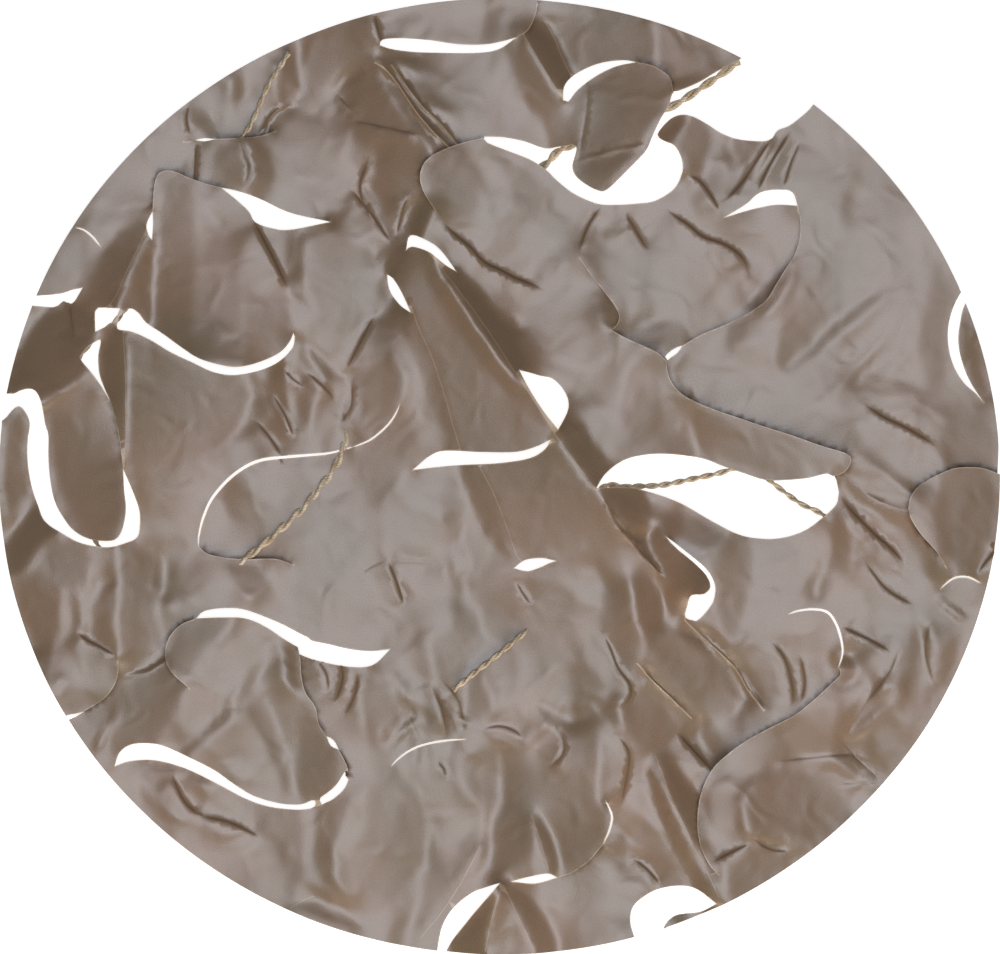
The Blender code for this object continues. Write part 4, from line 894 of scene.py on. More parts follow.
# flat faces of the folds: slope, downhill direction in degrees, and corners
# the corners were picked by hand, but most of the slopes and 39 of the directions were computed
# by separate scripts and then rounded, so those two columns aren't hand-set values
facets = [
    (0.2, 140, [(-119, 89), (-122, 86), (-130, 82), (-134, 77), (-138, 68), (-141, 60), (-142, 56),
        (-137, 50), (-136, 54), (-132, 60), (-126, 70), (-120, 79)]),  # band
    (0.4, 0, [(-120, 79), (-118, 73), (-118, 53), (-120, 52), (-131, 57), (-126, 67)]),  # bandRight
    (0.15, 170, [(-116, 102), (-105, 101), (-103, 94), (-103, 80), (-104, 60), (-105, 43), (-109, 45),
        (-115, 50), (-118, 54), (-117, 77)]),  # upperLeft
    (0.25, 100, [(-105, 101), (-102, 99), (-100, 91), (-92, 82), (-88, 79), (-87, 60), (-86, 38), (-90, 38),
        (-100, 40), (-105, 43), (-104, 60), (-103, 80), (-103, 94)]),  # upperLeftMiddle
    (0.1, 10, [(-88, 79), (-83, 77), (-78, 72), (-72, 61), (-71, 50), (-73, 43), (-81, 38), (-86, 38),
        (-87, 60)]),  # upperLeftRight
    (0.2, 0, [(-126, 46), (-119, 45), (-107, 38), (-97, 34), (-86, 34), (-84, 27), (-89, 16), (-95, 10),
        (-105, 9), (-112, 2), (-118, -1), (-119, -15), (-122, -18), (-122, -10), (-127, 6)]),
    (0.5, 180, [(-132, 48), (-128, 48), (-127, 40), (-127, 26), (-127, 12), (-127, 4), (-128, 9),
        (-130, 16), (-132, 25), (-134, 33), (-135, 45)]),  # uprightFlank
    (0.4, 130, [(-148, 58), (-154, 57), (-162, 46), (-166, 33), (-166, 28), (-160, 30), (-156, 26),
        (-154, 25), (-140, 34), (-142, 41), (-139, 45), (-137, 50), (-138, 56), (-141, 58), (-144, 58)]),
    (0.2, 170, [(-154, 23), (-139, 33), (-134, 28), (-132, 21), (-130, 12), (-128, 2), (-127, -8),
        (-128, -16), (-131, -21), (-138, -21), (-143, -18), (-147, -12), (-150, -5), (-152, 6), (-153, 16)]),
    (0.25, 0, [(-168, 19), (-163, 23), (-160, 16), (-160, 5), (-158, -5), (-166, -15), (-169, -1)]),
    (0.35, 140, [(-157, -8), (-154, -15), (-149, -18), (-156, -23), (-162, -32), (-166, -35), (-167, -23),
        (-165, -18)]),  # leftLowDark
    (0.15, 180, [(-133, -39), (-131, -39), (-130, -60), (-132, -61), (-136, -56), (-138, -45)]),
    (0.25, 0, [(-130, -23), (-119, -24), (-114, -28), (-114, -39), (-116, -49), (-115, -59), (-119, -62),
        (-127, -68), (-129, -61), (-130, -42)]),  # rightFlank
    (0.2, 200, [(-166, -37), (-154, -34), (-149, -39), (-149, -52), (-153, -56), (-159, -59), (-163, -49)]),
    (0.1, 0, [(-122, -14), (-114, -12), (-113, -19), (-119, -22), (-122, -20)]),  # smallBlotch
    (0.2, 320, [(-150, -69), (-144, -70), (-138, -76), (-136, -77), (-141, -80), (-146, -80), (-149, -76)]),
    (0.15, 180, [(-126, -68), (-120, -66), (-115, -62), (-110, -69), (-109, -75), (-112, -84), (-115, -90),
        (-122, -90), (-127, -92), (-131, -97), (-132, -90), (-133, -83), (-132, -76)]),  # diamond
    (0.15, 160, [(-109, -50), (-102, -48), (-90, -48), (-92, -52), (-98, -57), (-104, -61), (-107, -64),
        (-111, -59), (-112, -56)]),  # lobeTop
    (0.2, 140, [(-88, -78), (-93, -84), (-102, -91), (-105, -95), (-108, -93), (-100, -86), (-91, -76)]),
    (0.3, 100, [(-119, -96), (-107, -99), (-97, -104), (-97, -106), (-108, -102), (-118, -99)]),
    (0.15, 60, [(-115, -100), (-110, -103), (-108, -108), (-104, -112), (-100, -113), (-91, -115),
        (-86, -118), (-89, -121), (-95, -120), (-102, -118), (-106, -114), (-110, -109), (-113, -108)]),
    (0.1, 220, [(-122, -102), (-118, -107), (-113, -112), (-109, -118), (-110, -124), (-116, -118),
        (-122, -110)]),  # bottomLeftRim
    (0.1, 160, [(-88, -111), (-79, -113), (-68, -114), (-66, -120), (-67, -127), (-68, -137), (-70, -146),
        (-72, -146), (-73, -134), (-75, -125), (-81, -120), (-85, -116)]),  # bottomLeftBrown
    (0.15, 170, [(-63, -113), (-51, -106), (-50, -110), (-51, -118), (-56, -125), (-62, -134), (-64, -130),
        (-62, -123)]),  # underLobeRight
    (0.15, 10, [(-46, -107), (-36, -99), (-28, -105), (-24, -117), (-25, -134), (-34, -141), (-44, -144),
        (-52, -142), (-56, -136), (-52, -127), (-47, -118)]),  # bottomBrown
    (0.25, 60, [(-71, -147), (-63, -143), (-61, -144), (-55, -146), (-43, -157), (-59, -152)]),
    (0.15, 0, [(-39, -159), (-34, -149), (-30, -149), (-32, -159)]),  # bottomStrip
    (0.2, 200, [(-67, 147), (-58, 152), (-43, 156), (-41, 149), (-40, 147), (-42, 143), (-49, 142),
        (-54, 138), (-57, 131), (-57, 125), (-61, 120), (-68, 122), (-71, 126), (-66, 131), (-68, 136),
        (-68, 142)]),  # topBandLeft
    (0.3, 0, [(-74, 144), (-69, 147), (-69, 141), (-67, 135), (-67, 131), (-71, 127), (-75, 126),
        (-76, 131), (-76, 136)]),  # topBandDark
    (0.25, 30, [(-105, 122), (-98, 124), (-96, 117), (-104, 115)]),  # topBlotchA
    (0.3, 340, [(-92, 134), (-88, 136), (-86, 129), (-91, 127)]),  # topBlotchB
    (0.15, 180, [(-103, 113), (-88, 114), (-85, 106), (-86, 102), (-87, 98), (-93, 99), (-103, 102)]),
    (0.2, 10, [(-86, 114), (-81, 113), (-76, 108), (-76, 102), (-81, 97), (-85, 97), (-84, 105)]),
    (0.1, 150, [(-52, 114), (-44, 114), (-43, 108), (-46, 100), (-50, 104), (-52, 109)]),  # reddish
    (0.3, 180, [(-42, 114), (-24, 113), (-27, 106), (-27, 99), (-31, 94), (-36, 90), (-41, 94), (-45, 98),
        (-42, 106)]),  # olive
    (0.55, 170, [(-28, 97), (-23, 92), (-24, 89), (-27, 82), (-30, 79), (-30, 86), (-30, 92)]),
    (0.4, 160, [(-52, 136), (-43, 139), (-38, 135), (-33, 128), (-27, 122), (-20, 115), (-34, 115),
        (-46, 116), (-52, 120), (-56, 125), (-56, 131)]),  # pocket
    (0.5, 40, [(-43, 142), (-39, 143), (-36, 141), (-32, 136), (-28, 129), (-26, 125), (-30, 129),
        (-34, 135), (-38, 139)]),  # pocketGroove
    (0.3, 60, [(-43, 142), (-36, 144), (-27, 143), (-27, 139), (-32, 138), (-37, 141)]),  # underTopGap
    (0.15, 170, [(-6, 159), (3, 159), (0, 154), (-1, 148), (-7, 148), (-5, 154)]),  # topStripA
    (0, 180, [(-34, 155), (-25, 157), (-26, 149), (-34, 149)]),  # topStripB
    (0.2, 200, [(2, 145), (7, 148), (12, 141), (18, 131), (22, 126), (27, 131), (31, 134), (30, 125),
        (27, 115), (21, 114), (16, 112), (16, 120), (10, 125), (8, 133), (4, 140)]),  # besideTopGap
    (0.6, 40, [(9, 150), (16, 154), (21, 145), (24, 136), (22, 128), (18, 134), (13, 142)]),  # topPleat
    (0.1, 170, [(18, 152), (24, 156), (34, 159), (48, 155), (56, 150), (51, 142), (41, 143), (31, 140),
        (25, 137), (21, 145)]),  # topRight
    (0.2, 150, [(31, 134), (35, 136), (40, 139), (46, 140), (51, 139), (55, 136), (58, 131), (56, 125),
        (51, 117), (48, 111), (43, 106), (36, 99), (31, 101), (27, 104), (27, 108), (29, 121)]),
    (0.1, 0, [(-17, 104), (-10, 108), (-5, 99), (-7, 89), (-15, 86), (-18, 94)]),  # lightPatchA
    (0.1, 10, [(-7, 111), (0, 108), (10, 104), (17, 101), (20, 96), (17, 89), (10, 87), (5, 92), (4, 99),
        (-2, 104)]),  # lightPatchB
    (0.35, 140, [(51, 114), (55, 119), (59, 122), (65, 123), (62, 118), (58, 114)]),  # secondLobeRim
    (0.15, 20, [(65, 122), (70, 120), (72, 115), (69, 108), (68, 102), (64, 102), (61, 108), (59, 112)]),
    (0.2, 170, [(79, 114), (91, 113), (89, 109), (84, 104), (82, 105), (79, 109)]),  # secondLobeB
    (0.05, 340, [(99, 117), (103, 117), (97, 108), (91, 97), (88, 96), (91, 106)]),  # notchStrip
    (0.3, 140, [(100, 75), (98, 68), (95, 60), (90, 55), (84, 54), (80, 52), (85, 60), (92, 67)]),
    (0.05, 0, [(109, 77), (116, 78), (118, 67), (114, 57), (109, 60)]),  # rightSoft
    (0.05, 120, [(119, 96), (129, 97), (131, 87), (123, 83), (119, 87)]),  # upperRightSoft
    (0.65, 40, [(-23, 76), (-20, 72), (-13, 68), (-8, 63), (0, 55), (6, 50), (6, 45), (6, 40), (8, 37),
        (7, 33), (0, 40), (-7, 50), (-13, 60), (-20, 70)]),  # pleatRightTop
    (0.35, 20, [(20, 14), (26, 16), (31, 11), (35, 6), (34, -2), (31, -1), (27, 5), (23, 10)]),
    (0.1, 200, [(-25, 76), (-20, 68), (-13, 58), (-7, 48), (0, 38), (7, 29), (14, 22), (19, 14), (16, 13),
        (10, 11), (0, 9), (-13, 10), (-16, 18), (-18, 24), (-20, 31), (-23, 39), (-25, 45), (-29, 54),
        (-32, 67), (-32, 75)]),  # mainFacet
    (0.4, 220, [(-25, 76), (-20, 68), (-13, 58), (-7, 48), (0, 38), (7, 29), (4, 28), (-3, 37), (-11, 47),
        (-17, 56), (-22, 64), (-25, 71)]),  # mainFacetEdge
    (0.2, 200, [(-6, 3), (0, 4), (10, 6), (19, 12), (26, 4), (33, -5), (38, -16), (43, -22), (51, -30),
        (56, -35), (48, -39), (43, -42), (34, -34), (31, -28), (24, -27), (19, -29), (14, -28), (6, -27),
        (2, -18), (-2, -8)]),  # mainFacetLow
    (0.4, 200, [(-38, 68), (-36, 71), (-33, 65), (-30, 58), (-29, 55), (-32, 57), (-36, 63)]),  # headLeft
    (0.1, 190, [(-30, 53), (-28, 48), (-24, 40), (-21, 28), (-19, 18), (-17, 10), (-20, 10), (-21, 16),
        (-23, 26), (-26, 36), (-30, 46)]),  # facetFoot
    (0.25, 200, [(-13, 4), (-6, 3), (-2, -8), (2, -20), (5, -28), (2, -28), (-3, -22), (-8, -11),
        (-13, -3)]),  # facetFootLow
    (0.15, 340, [(-20, -13), (-15, -11), (-12, -16), (-13, -23), (-18, -22)]),  # lowPatch
    (0.2, 60, [(32, 86), (35, 84), (35, 79), (33, 73), (31, 70), (28, 73), (28, 79)]),  # neckFacet
    (0.45, 60, [(34, 62), (37, 61), (39, 57), (39, 51), (36, 52), (34, 56)]),  # underTongueEnd
    (0.25, 190, [(59, 36), (65, 25), (78, 20), (95, 15), (109, 10), (117, 7), (118, 4), (111, 1), (102, 1),
        (92, 1), (82, 4), (76, 6), (68, 8), (66, 16), (65, 22)]),  # flap
    (0.1, 340, [(43, 36), (48, 37), (54, 33), (55, 24), (52, 14), (48, 9), (43, 8), (42, 23)]),  # flapLeft
    (0.6, 60, [(60, 32), (65, 30), (70, 26), (65, 27), (61, 30)]),  # aboveFlap
    (0.2, 100, [(46, 52), (55, 53), (57, 46), (53, 43), (47, 45)]),  # olivePatch
    (0.15, 140, [(77, 52), (84, 53), (84, 46), (78, 44)]),  # rightBlotch
    (0.15, 140, [(97, 40), (104, 44), (114, 52), (124, 60), (130, 64), (131, 61), (123, 54), (113, 46),
        (104, 39), (98, 35)]),  # rightStrip
    (0.15, 340, [(95, 48), (106, 48), (107, 43), (102, 42), (97, 36), (94, 40)]),  # oliveRight
    (0.1, 350, [(148, 76), (156, 63), (153, 55), (152, 46), (153, 36), (146, 29), (143, 34), (141, 45),
        (143, 53), (146, 63)]),  # rightEdge
    (0.1, 110, [(122, 36), (131, 34), (141, 31), (144, 26), (138, 22), (129, 22), (123, 25)]),  # rightLow
    (0.1, 30, [(155, 24), (162, 26), (168, 21), (170, 4), (160, 5), (152, 3), (150, 11), (152, 18)]),
    (0.45, 30, [(34, -5), (39, -4), (48, -5), (51, -9), (51, -13), (48, -18), (42, -13), (38, -8)]),
    (0.1, 230, [(5, -32), (10, -37), (16, -34), (24, -39), (26, -42), (21, -50), (10, -56), (-3, -56),
        (-15, -45), (-10, -39), (0, -32)]),  # middleBrown
    (0.2, 100, [(61, -11), (70, -15), (76, -19), (76, -24), (68, -25), (63, -20)]),  # holeBrown
    (0.65, 160, [(48, -19), (55, -18), (56, -22), (61, -27), (66, -31), (70, -35), (71, -38), (68, -40),
        (65, -39), (61, -39), (58, -35), (53, -28), (50, -23)]),  # lobeEnd
    (0.4, 10, [(44, -34), (51, -34), (56, -39), (55, -50), (51, -55), (46, -49)]),  # greyBlotch
    (0.6, 60, [(60, -52), (65, -53), (74, -61), (68, -62), (61, -60)]),  # twinDark
    (0.15, 20, [(78, -22), (85, -22), (87, -28), (85, -42), (80, -56), (75, -52), (73, -42), (74, -34),
        (71, -31)]),  # besideTwin
    (0.25, 200, [(115, -11), (121, -27), (119, -32), (114, -34), (109, -42), (107, -39), (110, -32),
        (113, -25), (112, -18)]),  # holeWedge
    (0.25, 210, [(118, -2), (129, -8), (138, -12), (141, -18), (148, -28), (152, -35), (147, -36),
        (141, -27), (134, -18), (126, -11), (118, -7)]),  # rightBand
    (0.15, 20, [(149, 0), (157, 2), (165, 2), (170, -8), (168, -20), (162, -32), (155, -34), (152, -27),
        (149, -18), (147, -8)]),  # edgeLobe
    (0.3, -60, [(115, -65), (121, -66), (121, -70), (116, -71)]),  # arcEndShadow
    (0.35, 200, [(113, -60), (115, -59), (115, -65), (113, -66)]),  # arcEndLeft
    (0.4, 150, [(118, -59), (122, -60), (125, -63), (129, -69), (130, -74), (127, -75), (125, -68),
        (121, -64)]),  # curvedBand
    (0.3, 140, [(133, -73), (134, -75), (128, -81), (120, -89), (118, -87), (125, -80)]),  # curvedBandLow
    (0.1, 20, [(141, -59), (144, -59), (143, -73), (139, -84), (134, -81), (137, -73)]),  # edgeStripA
    (0.25, 190, [(142, -50), (145, -51), (148, -59), (146, -60), (143, -56)]),  # edgeStripB
    (0.15, 340, [(149, -61), (154, -54), (156, -54), (155, -64), (151, -73), (149, -68)]),  # edgeStripC
    (0.1, 20, [(142, -86), (144, -79), (148, -72), (150, -73), (146, -81)]),  # edgeStripD
    (0, 20, [(91, -56), (95, -56), (99, -64), (101, -73), (99, -77), (97, -71)]),  # twinSwirl
    (0.05, 340, [(102, -61), (104, -62), (105, -69), (102, -77), (101, -76), (103, -69)]),  # twinSwirlB
    (0.3, 180, [(65, -84), (78, -76), (92, -80), (100, -80), (89, -86), (80, -91), (74, -96), (70, -92)]),
    (0.3, 20, [(82, -110), (89, -100), (99, -99), (112, -100), (125, -104), (119, -113), (106, -122),
        (92, -123), (84, -120)]),  # fourLobeLow
    (0.2, 10, [(76, -133), (86, -127), (99, -130), (109, -124), (102, -129), (89, -139), (77, -144)]),
    (0.05, 0, [(76, -96), (86, -90), (95, -86), (102, -84), (102, -94), (90, -99), (82, -102)]),
    (0.15, 240, [(96, -86), (106, -79), (115, -77), (114, -86), (112, -94), (102, -95)]),  # belowArcBrown
    (0.4, 70, [(114, -95), (118, -93), (125, -100), (129, -104), (123, -103), (118, -101)]),  # crossDark
    (0.55, 20, [(55, -96), (59, -97), (66, -108), (68, -111), (68, -122), (70, -128), (72, -131),
        (69, -131), (64, -122), (59, -110)]),  # pleatLowRight
    (0.55, 190, [(50, -98), (54, -106), (57, -113), (61, -122), (65, -131), (71, -139), (75, -144),
        (74, -144), (67, -140), (62, -131), (58, -123), (54, -113), (51, -104)]),  # pleatLowLeft
    (0.15, 200, [(42, -122), (51, -117), (57, -125), (63, -137), (55, -139), (50, -134), (44, -128)]),
    (0.2, 170, [(3, -96), (21, -88), (33, -83), (34, -96), (33, -110), (36, -114), (36, -122), (31, -129),
        (24, -134), (18, -134), (14, -124), (10, -114), (12, -134), (4, -136), (-3, -133), (-3, -117)]),
    (0.4, 20, [(11, -114), (13, -114), (18, -122), (21, -133), (17, -134), (14, -124)]),  # bottomLobeDark
    (0.65, 190, [(-18, -161), (-10, -149), (-3, -141), (0, -141), (-3, -149), (-7, -161)]),  # tentLeft
    (0.3, 20, [(2, -141), (6, -141), (16, -149), (21, -161), (13, -162), (7, -151)]),  # tentRight
    (0.15, 160, [(7, -140), (30, -148), (44, -156), (30, -159), (21, -161), (16, -149)]),  # tentRightLow
    (0.1, 170, [(-24, -131), (-14, -126), (-10, -127), (-13, -136), (-20, -144), (-25, -152), (-30, -154),
        (-27, -142)]),  # lowBrown
    (0.2, 340, [(-34, -108), (-27, -110), (-23, -118), (-25, -132), (-31, -137), (-36, -124)]),
    (0.15, 10, [(-15, -99), (-7, -97), (0, -102), (1, -113), (-4, -112), (-10, -108)]),  # lowBrownMiddle
    (0.3, 30, [(-64, 45), (-58, 37), (-51, 32), (-52, 29), (-59, 34), (-66, 42)]),  # crumpleA
    (0.1, 10, [(-52, 26), (-58, 9), (-64, 12), (-62, 28)]),  # crumpleB
    (0.2, 180, [(-49, 40), (-37, 43), (-32, 33), (-34, 22), (-44, 21), (-50, 28)]),  # crumpleRound
    (0.1, 180, [(-51, 21), (-34, 23), (-29, 16), (-30, 4), (-38, -5), (-42, -11), (-49, -5), (-52, 6)]),
    (0.15, 220, [(-92, 0), (-85, 2), (-82, -5), (-86, -15), (-92, -15), (-94, -8)]),  # tongueBrown
    (0.2, 80, [(-90, -29), (-81, -29), (-79, -37), (-85, -43), (-89, -39)]),  # underTongueBrown
    (0.3, 20, [(-74, -57), (-69, -57), (-67, -66), (-66, -73), (-71, -73), (-73, -66)]),  # bigLobeInner
    (0.25, 350, [(-76, -60), (-81, -66), (-86, -76), (-89, -81), (-91, -76), (-85, -66)]),  # bigLobeStrip
    (0.2, 350, [(-88, -73), (-81, -73), (-76, -81), (-73, -91), (-71, -102), (-68, -109), (-73, -107),
        (-76, -98), (-81, -88), (-85, -81)]),  # bigLobeBand
    (0.15, 180, [(-68, -88), (-61, -86), (-56, -91), (-54, -98), (-56, -105), (-63, -109), (-68, -109),
        (-70, -100)]),  # bigLobeRight
    (0.05, 160, [(-52, -65), (-47, -65), (-45, -73), (-50, -84), (-58, -86), (-56, -79)]),  # besideLobe
    (0.2, 330, [(-45, -66), (-40, -73), (-34, -78), (-33, -88), (-39, -91), (-45, -88), (-48, -76)]),
    (0.25, 20, [(-24, -71), (-20, -71), (-16, -77), (-14, -85), (-18, -86), (-20, -79)]),  # ovalDark
    (0.15, 180, [(-12, -71), (-7, -67), (-2, -73), (-3, -80), (-8, -83), (-11, -80)]),  # centreStrip
    (0.2, 60, [(10, -75), (14, -78), (19, -81), (24, -84), (23, -88), (18, -86), (13, -81)]),  # darkArc
    (0.15, 200, [(24, -63), (31, -64), (35, -69), (35, -78), (31, -81), (25, -81), (23, -73)]),
    (0.2, 180, [(0, -88), (8, -90), (12, -96), (10, -107), (3, -103), (0, -96)]),  # centreLow
    (0.15, 20, [(-15, -42), (-7, -43), (-6, -52), (-12, -56), (-16, -50)]),  # oliveCentre
    (0.1, 340, [(-24, -54), (-13, -53), (-11, -66), (-18, -69), (-22, -64)]),  # oliveCentreLow
    (0.25, 340, [(-19, -32), (-17, -30), (-11, -38), (-13, -40)]),  # smallBrown
    (0, 0, [(-78, 122), (-68, 126), (-60, 121), (-56, 114), (-52, 106), (-50, 97), (-53, 90), (-59, 89),
        (-68, 92), (-74, 97), (-75, 104), (-76, 108), (-80, 113)]),  # calmTop
    (0.15, 0, [(-67, 80), (-58, 84), (-46, 80), (-39, 70), (-37, 60), (-42, 52), (-51, 50), (-62, 54),
        (-66, 63)]),  # calmCrumple
    (0, 0, [(27, 21), (34, 24), (42, 19), (45, 12), (39, 8), (34, 9), (30, 14)]),  # calmPleatSide
    (0, 0, [(119, 31), (122, 25), (129, 20), (138, 15), (146, 10), (148, 4), (141, 0), (134, 2), (126, 9),
        (119, 18)]),  # calmRight
    (0, 0, [(-20, -98), (-15, -96), (-14, -110), (-10, -120), (-12, -125), (-18, -127), (-23, -122),
        (-25, -110)]),  # calmLow
    (0.1, 0, [(-100, -60), (-88, -54), (-79, -56), (-81, -62), (-91, -73), (-100, -83), (-107, -88),
        (-108, -86), (-108, -76), (-105, -66)]),  # calmLobe
    (0, 0, [(-149, -59), (-141, -56), (-133, -61), (-132, -68), (-136, -73), (-144, -70), (-149, -66)]),
    (0.15, 0, [(52, 152), (65, 148), (77, 142), (68, 138), (61, 135), (57, 138), (54, 144)]),
    (0, 0, [(103, 89), (109, 92), (114, 86), (112, 79), (106, 73), (103, 65), (101, 61), (102, 73),
        (103, 80)]),  # calmLobeSide
    (0, 0, [(70, -107), (75, -101), (80, -104), (81, -113), (80, -121), (73, -123), (70, -115)]),
    (0.05, 0, [(-68, 60), (-62, 53), (-52, 48), (-56, 43), (-64, 46)]),  # calmSpot
    (0.25, 0, [(40, -76), (48, -73), (56, -76), (61, -84), (59, -91), (51, -94), (45, -91), (42, -84)]),
    (0.15, 180, [(34, -42), (42, -39), (46, -42), (46, -49), (50, -57), (46, -66), (41, -69), (37, -62)]),
    (0.2, 0, [(159, 58), (162, 53), (165, 43), (167, 34), (165, 26), (161, 31), (157, 40), (157, 52)]),
    (0.4, 90, [(56, -152), (61, -148), (70, -147), (72, -146), (68, -149), (61, -152)]),  # holeTip
    (0.1, 180, [(-154, -23), (-146, -22), (-138, -26), (-139, -35), (-144, -39), (-152, -34)]),
    (0.2, 0, [(62, -77), (67, -80), (69, -84), (66, -88), (62, -88), (61, -83)]),  # underTwinEnd
    (0, 180, [(118, -89), (121, -89), (124, -92), (123, -96), (119, -93), (116, -92)]),  # belowArcEnd
    (0.2, 0, [(53, -53), (61, -52), (68, -57), (78, -66), (84, -76), (80, -82), (73, -83), (68, -80),
        (59, -71), (52, -63)]),  # twinField
    (0, 0, [(-149, 76), (-143, 82), (-136, 77), (-139, 70), (-143, 64), (-149, 63), (-155, 63)]),
    (0, 0, [(37, 82), (42, 80), (46, 73), (48, 63), (46, 54), (43, 51), (42, 56), (38, 62), (34, 68),
        (35, 75)]),  # calmNeck
]
# x, y, radius, strength and fold direction of the crumpled places
bunchedPlaces = [
    (-67.8, 32.8, 32.3, 0.9, 110),
    (-149.4, 43, 25.5, 0.7, 40),
    (-129, 73.6, 20.4, 0.4, 50),
    (47.8, -28.4, 30.6, 0.5, 135),
    (64.8, -62.4, 30.6, 0.6, 125),
    (-20.2, -79.4, 30.6, 0.7, 100),
    (20.6, -82.8, 27.2, 0.5, 60),
    (-37.2, -31.8, 17, 0.3, 150),
    (71.6, 100.8, 23.8, 0.5, 60),
    (81.8, 63.4, 20.4, 0.3, 45),
    (-101.8, 111, 20.4, 0.5, 90),
    (20.6, 141.6, 20.4, 0.4, 120),
    (132.8, -8, 34, 0.8, 140),
    (-91.6, -106.6, 23.8, 0.6, 120),
    (47.8, -130.4, 23.8, 0.5, 130),
    (-6.6, -133.8, 27.2, 0.5, 60),
    (-52.5, 82.1, 17, 0.3, 70),
    (129.4, -69.2, 30.6, 0.6, 55),
    (-33.8, 124.6, 23.8, 0.4, 130),
    (-142.6, -48.8, 27.2, 0.6, 95),
    (0.2, 94, 23.8, 0.3, 60),
    (122.6, 36.2, 27.2, 0.2, 60),
    (-67.8, 141.6, 23.8, 0.4, 60),
    (-57.6, -127, 27.2, 0.5, 110),
    (102.2, -110, 27.2, 0.4, 45),
]


def thinGapLips(gap):
    line = smoothLine(gap["line"], cloth["lipStep"])
    run = np.linspace(0, 1, len(line))
    opening = gap["width"] / 2 * np.sqrt(np.clip(4 * run * (1 - run), 0, 1))
    aside = leftOf(line) * opening[:, None]
    return line + aside, line - aside


def outwardShare(points, margin=0.0):
    # 0 in the cloth's middle, and 1 on its outline or on an oval this far inside it
    return ((points[:, 0] / (cloth["halfWidth"] - margin)) ** 2
            + (points[:, 1] / (cloth["halfDepth"] - margin)) ** 2)


lips = []      # both lips of every gap, with heights
holes = []
for gap in gapShapes.values():
    far = smoothLine(gap["far"], cloth["lipStep"])
    near = smoothLine(gap["near"], cloth["lipStep"])
    lips += [spreadAlong(far, gap["farZ"]), spreadAlong(near, gap["nearZ"])]
    holes.append(np.vstack([far, near[::-1][1:-1]]))
for gap in thinGaps.values():
    left, right = thinGapLips(gap)
    lips += [spreadAlong(left, (gap["left"],) * 2), spreadAlong(right, (gap["right"],) * 2)]
    holes.append(np.vstack([left, right[::-1][1:-1]]))
cuts = [smoothLine(cut["line"], cloth["lipStep"]) for cut in cutEdges.values()]
folds = {name: smoothLine(line, cloth["foldStep"]) for name, line in foldLines.items()}
creases = [smoothLine(line, cloth["creaseStep"]) for line, left, right, hasHighlight in creaseRows]
creaseSides = [line + side * cloth["creaseWall"] * leftOf(line) for line in creases for side in (1, -1)]
turn = np.arange(cloth["outlinePoints"]) * 2 * math.pi / cloth["outlinePoints"]
outline = np.column_stack([cloth["halfWidth"] * np.cos(turn), cloth["halfDepth"] * np.sin(turn)])

# mesh points in staggered rows, a little shaken, away from every line
spacing = cloth["spacing"]
width = cloth["halfWidth"] + cloth["rowOverhang"]
rows = np.arange(-cloth["halfWidth"], cloth["halfWidth"], spacing * math.sqrt(3) / 2)
lattice = np.array([(x + (i % 2) * spacing / 2, y) for i, y in enumerate(rows)
                    for x in np.arange(-width, width, spacing)])
shake = np.column_stack([waves(lattice * cloth["shakeChange"], 1.0, seed) for seed in cloth["shakeSeeds"]])
lattice = lattice + cloth["shake"] * shake
kept = outwardShare(lattice, cloth["edgeMargin"]) < 1.0
for hole in holes:
    kept &= ~insidePolygon(lattice, hole)
for line in lips + cuts + list(folds.values()) + creases + creaseSides:
    kept[alongLine(lattice, line, cloth["clearance"])[0]] = False

planPoints, planEdges, cutEdgeNumbers = [], [], set()


def addLine(line, closed=False, isCut=False):
    start = len(planPoints)
    planPoints.extend(Vector((float(x), float(y))) for x, y in line[:, :2])
    last = len(planPoints) - 1
    joined = [(i, i + 1) for i in range(start, last)]
    if closed:
        joined.append((last, start))
    if isCut:
        cutEdgeNumbers.update(range(len(planEdges), len(planEdges) + len(joined)))
    planEdges.extend(joined)


addLine(outline, closed=True)
for line in lips + list(folds.values()) + creases + creaseSides:
    addLine(line)
for line in cuts:
    addLine(line, isCut=True)
planPoints.extend(Vector((float(x), float(y))) for x, y in lattice[kept])
verts, edges, faces, _, madeFrom, _ = delaunay_2d_cdt(planPoints, planEdges, [], 0, cloth["tolerance"])
plan = np.array([tuple(v) for v in verts])
faces = np.array([face for face in faces if len(face) == 3])
middles = plan[faces].mean(axis=1)
kept = outwardShare(middles) < 1.0
for hole in holes:
    kept &= ~insidePolygon(middles, hole)
faces = faces[kept]
slitEdges = {tuple(sorted(ends)) for ends, sources in zip(edges, madeFrom) if cutEdgeNumbers & set(sources)}

# the cloth is split along its cuts
bm = bmesh.new()
bmVerts = {i: bm.verts.new((plan[i, 0], plan[i, 1], 0.0)) for i in np.unique(faces)}
for face in faces:
    bm.faces.new([bmVerts[i] for i in face])
bm.verts.index_update()
planNumbers = {vert.index: i for i, vert in bmVerts.items()}
toSplit = [e for e in bm.edges if len(e.link_faces) == 2
           and tuple(sorted(planNumbers[v.index] for v in e.verts)) in slitEdges]
bmesh.ops.split_edges(bm, edges=toSplit)
bmesh.ops.recalc_face_normals(bm, faces=bm.faces)
bm.verts.index_update()
plan = np.array([v.co[:2] for v in bm.verts])
faces = np.array([[v.index for v in f.verts] for f in bm.faces])
if sum(f.normal.z for f in bm.faces) < 0:
    faces = faces[:, ::-1]
bm.free()
count = len(plan)
corner = [plan[faces[:, i]] for i in range(3)]
doubleAreas = np.cross(corner[1] - corner[0], corner[2] - corner[0])

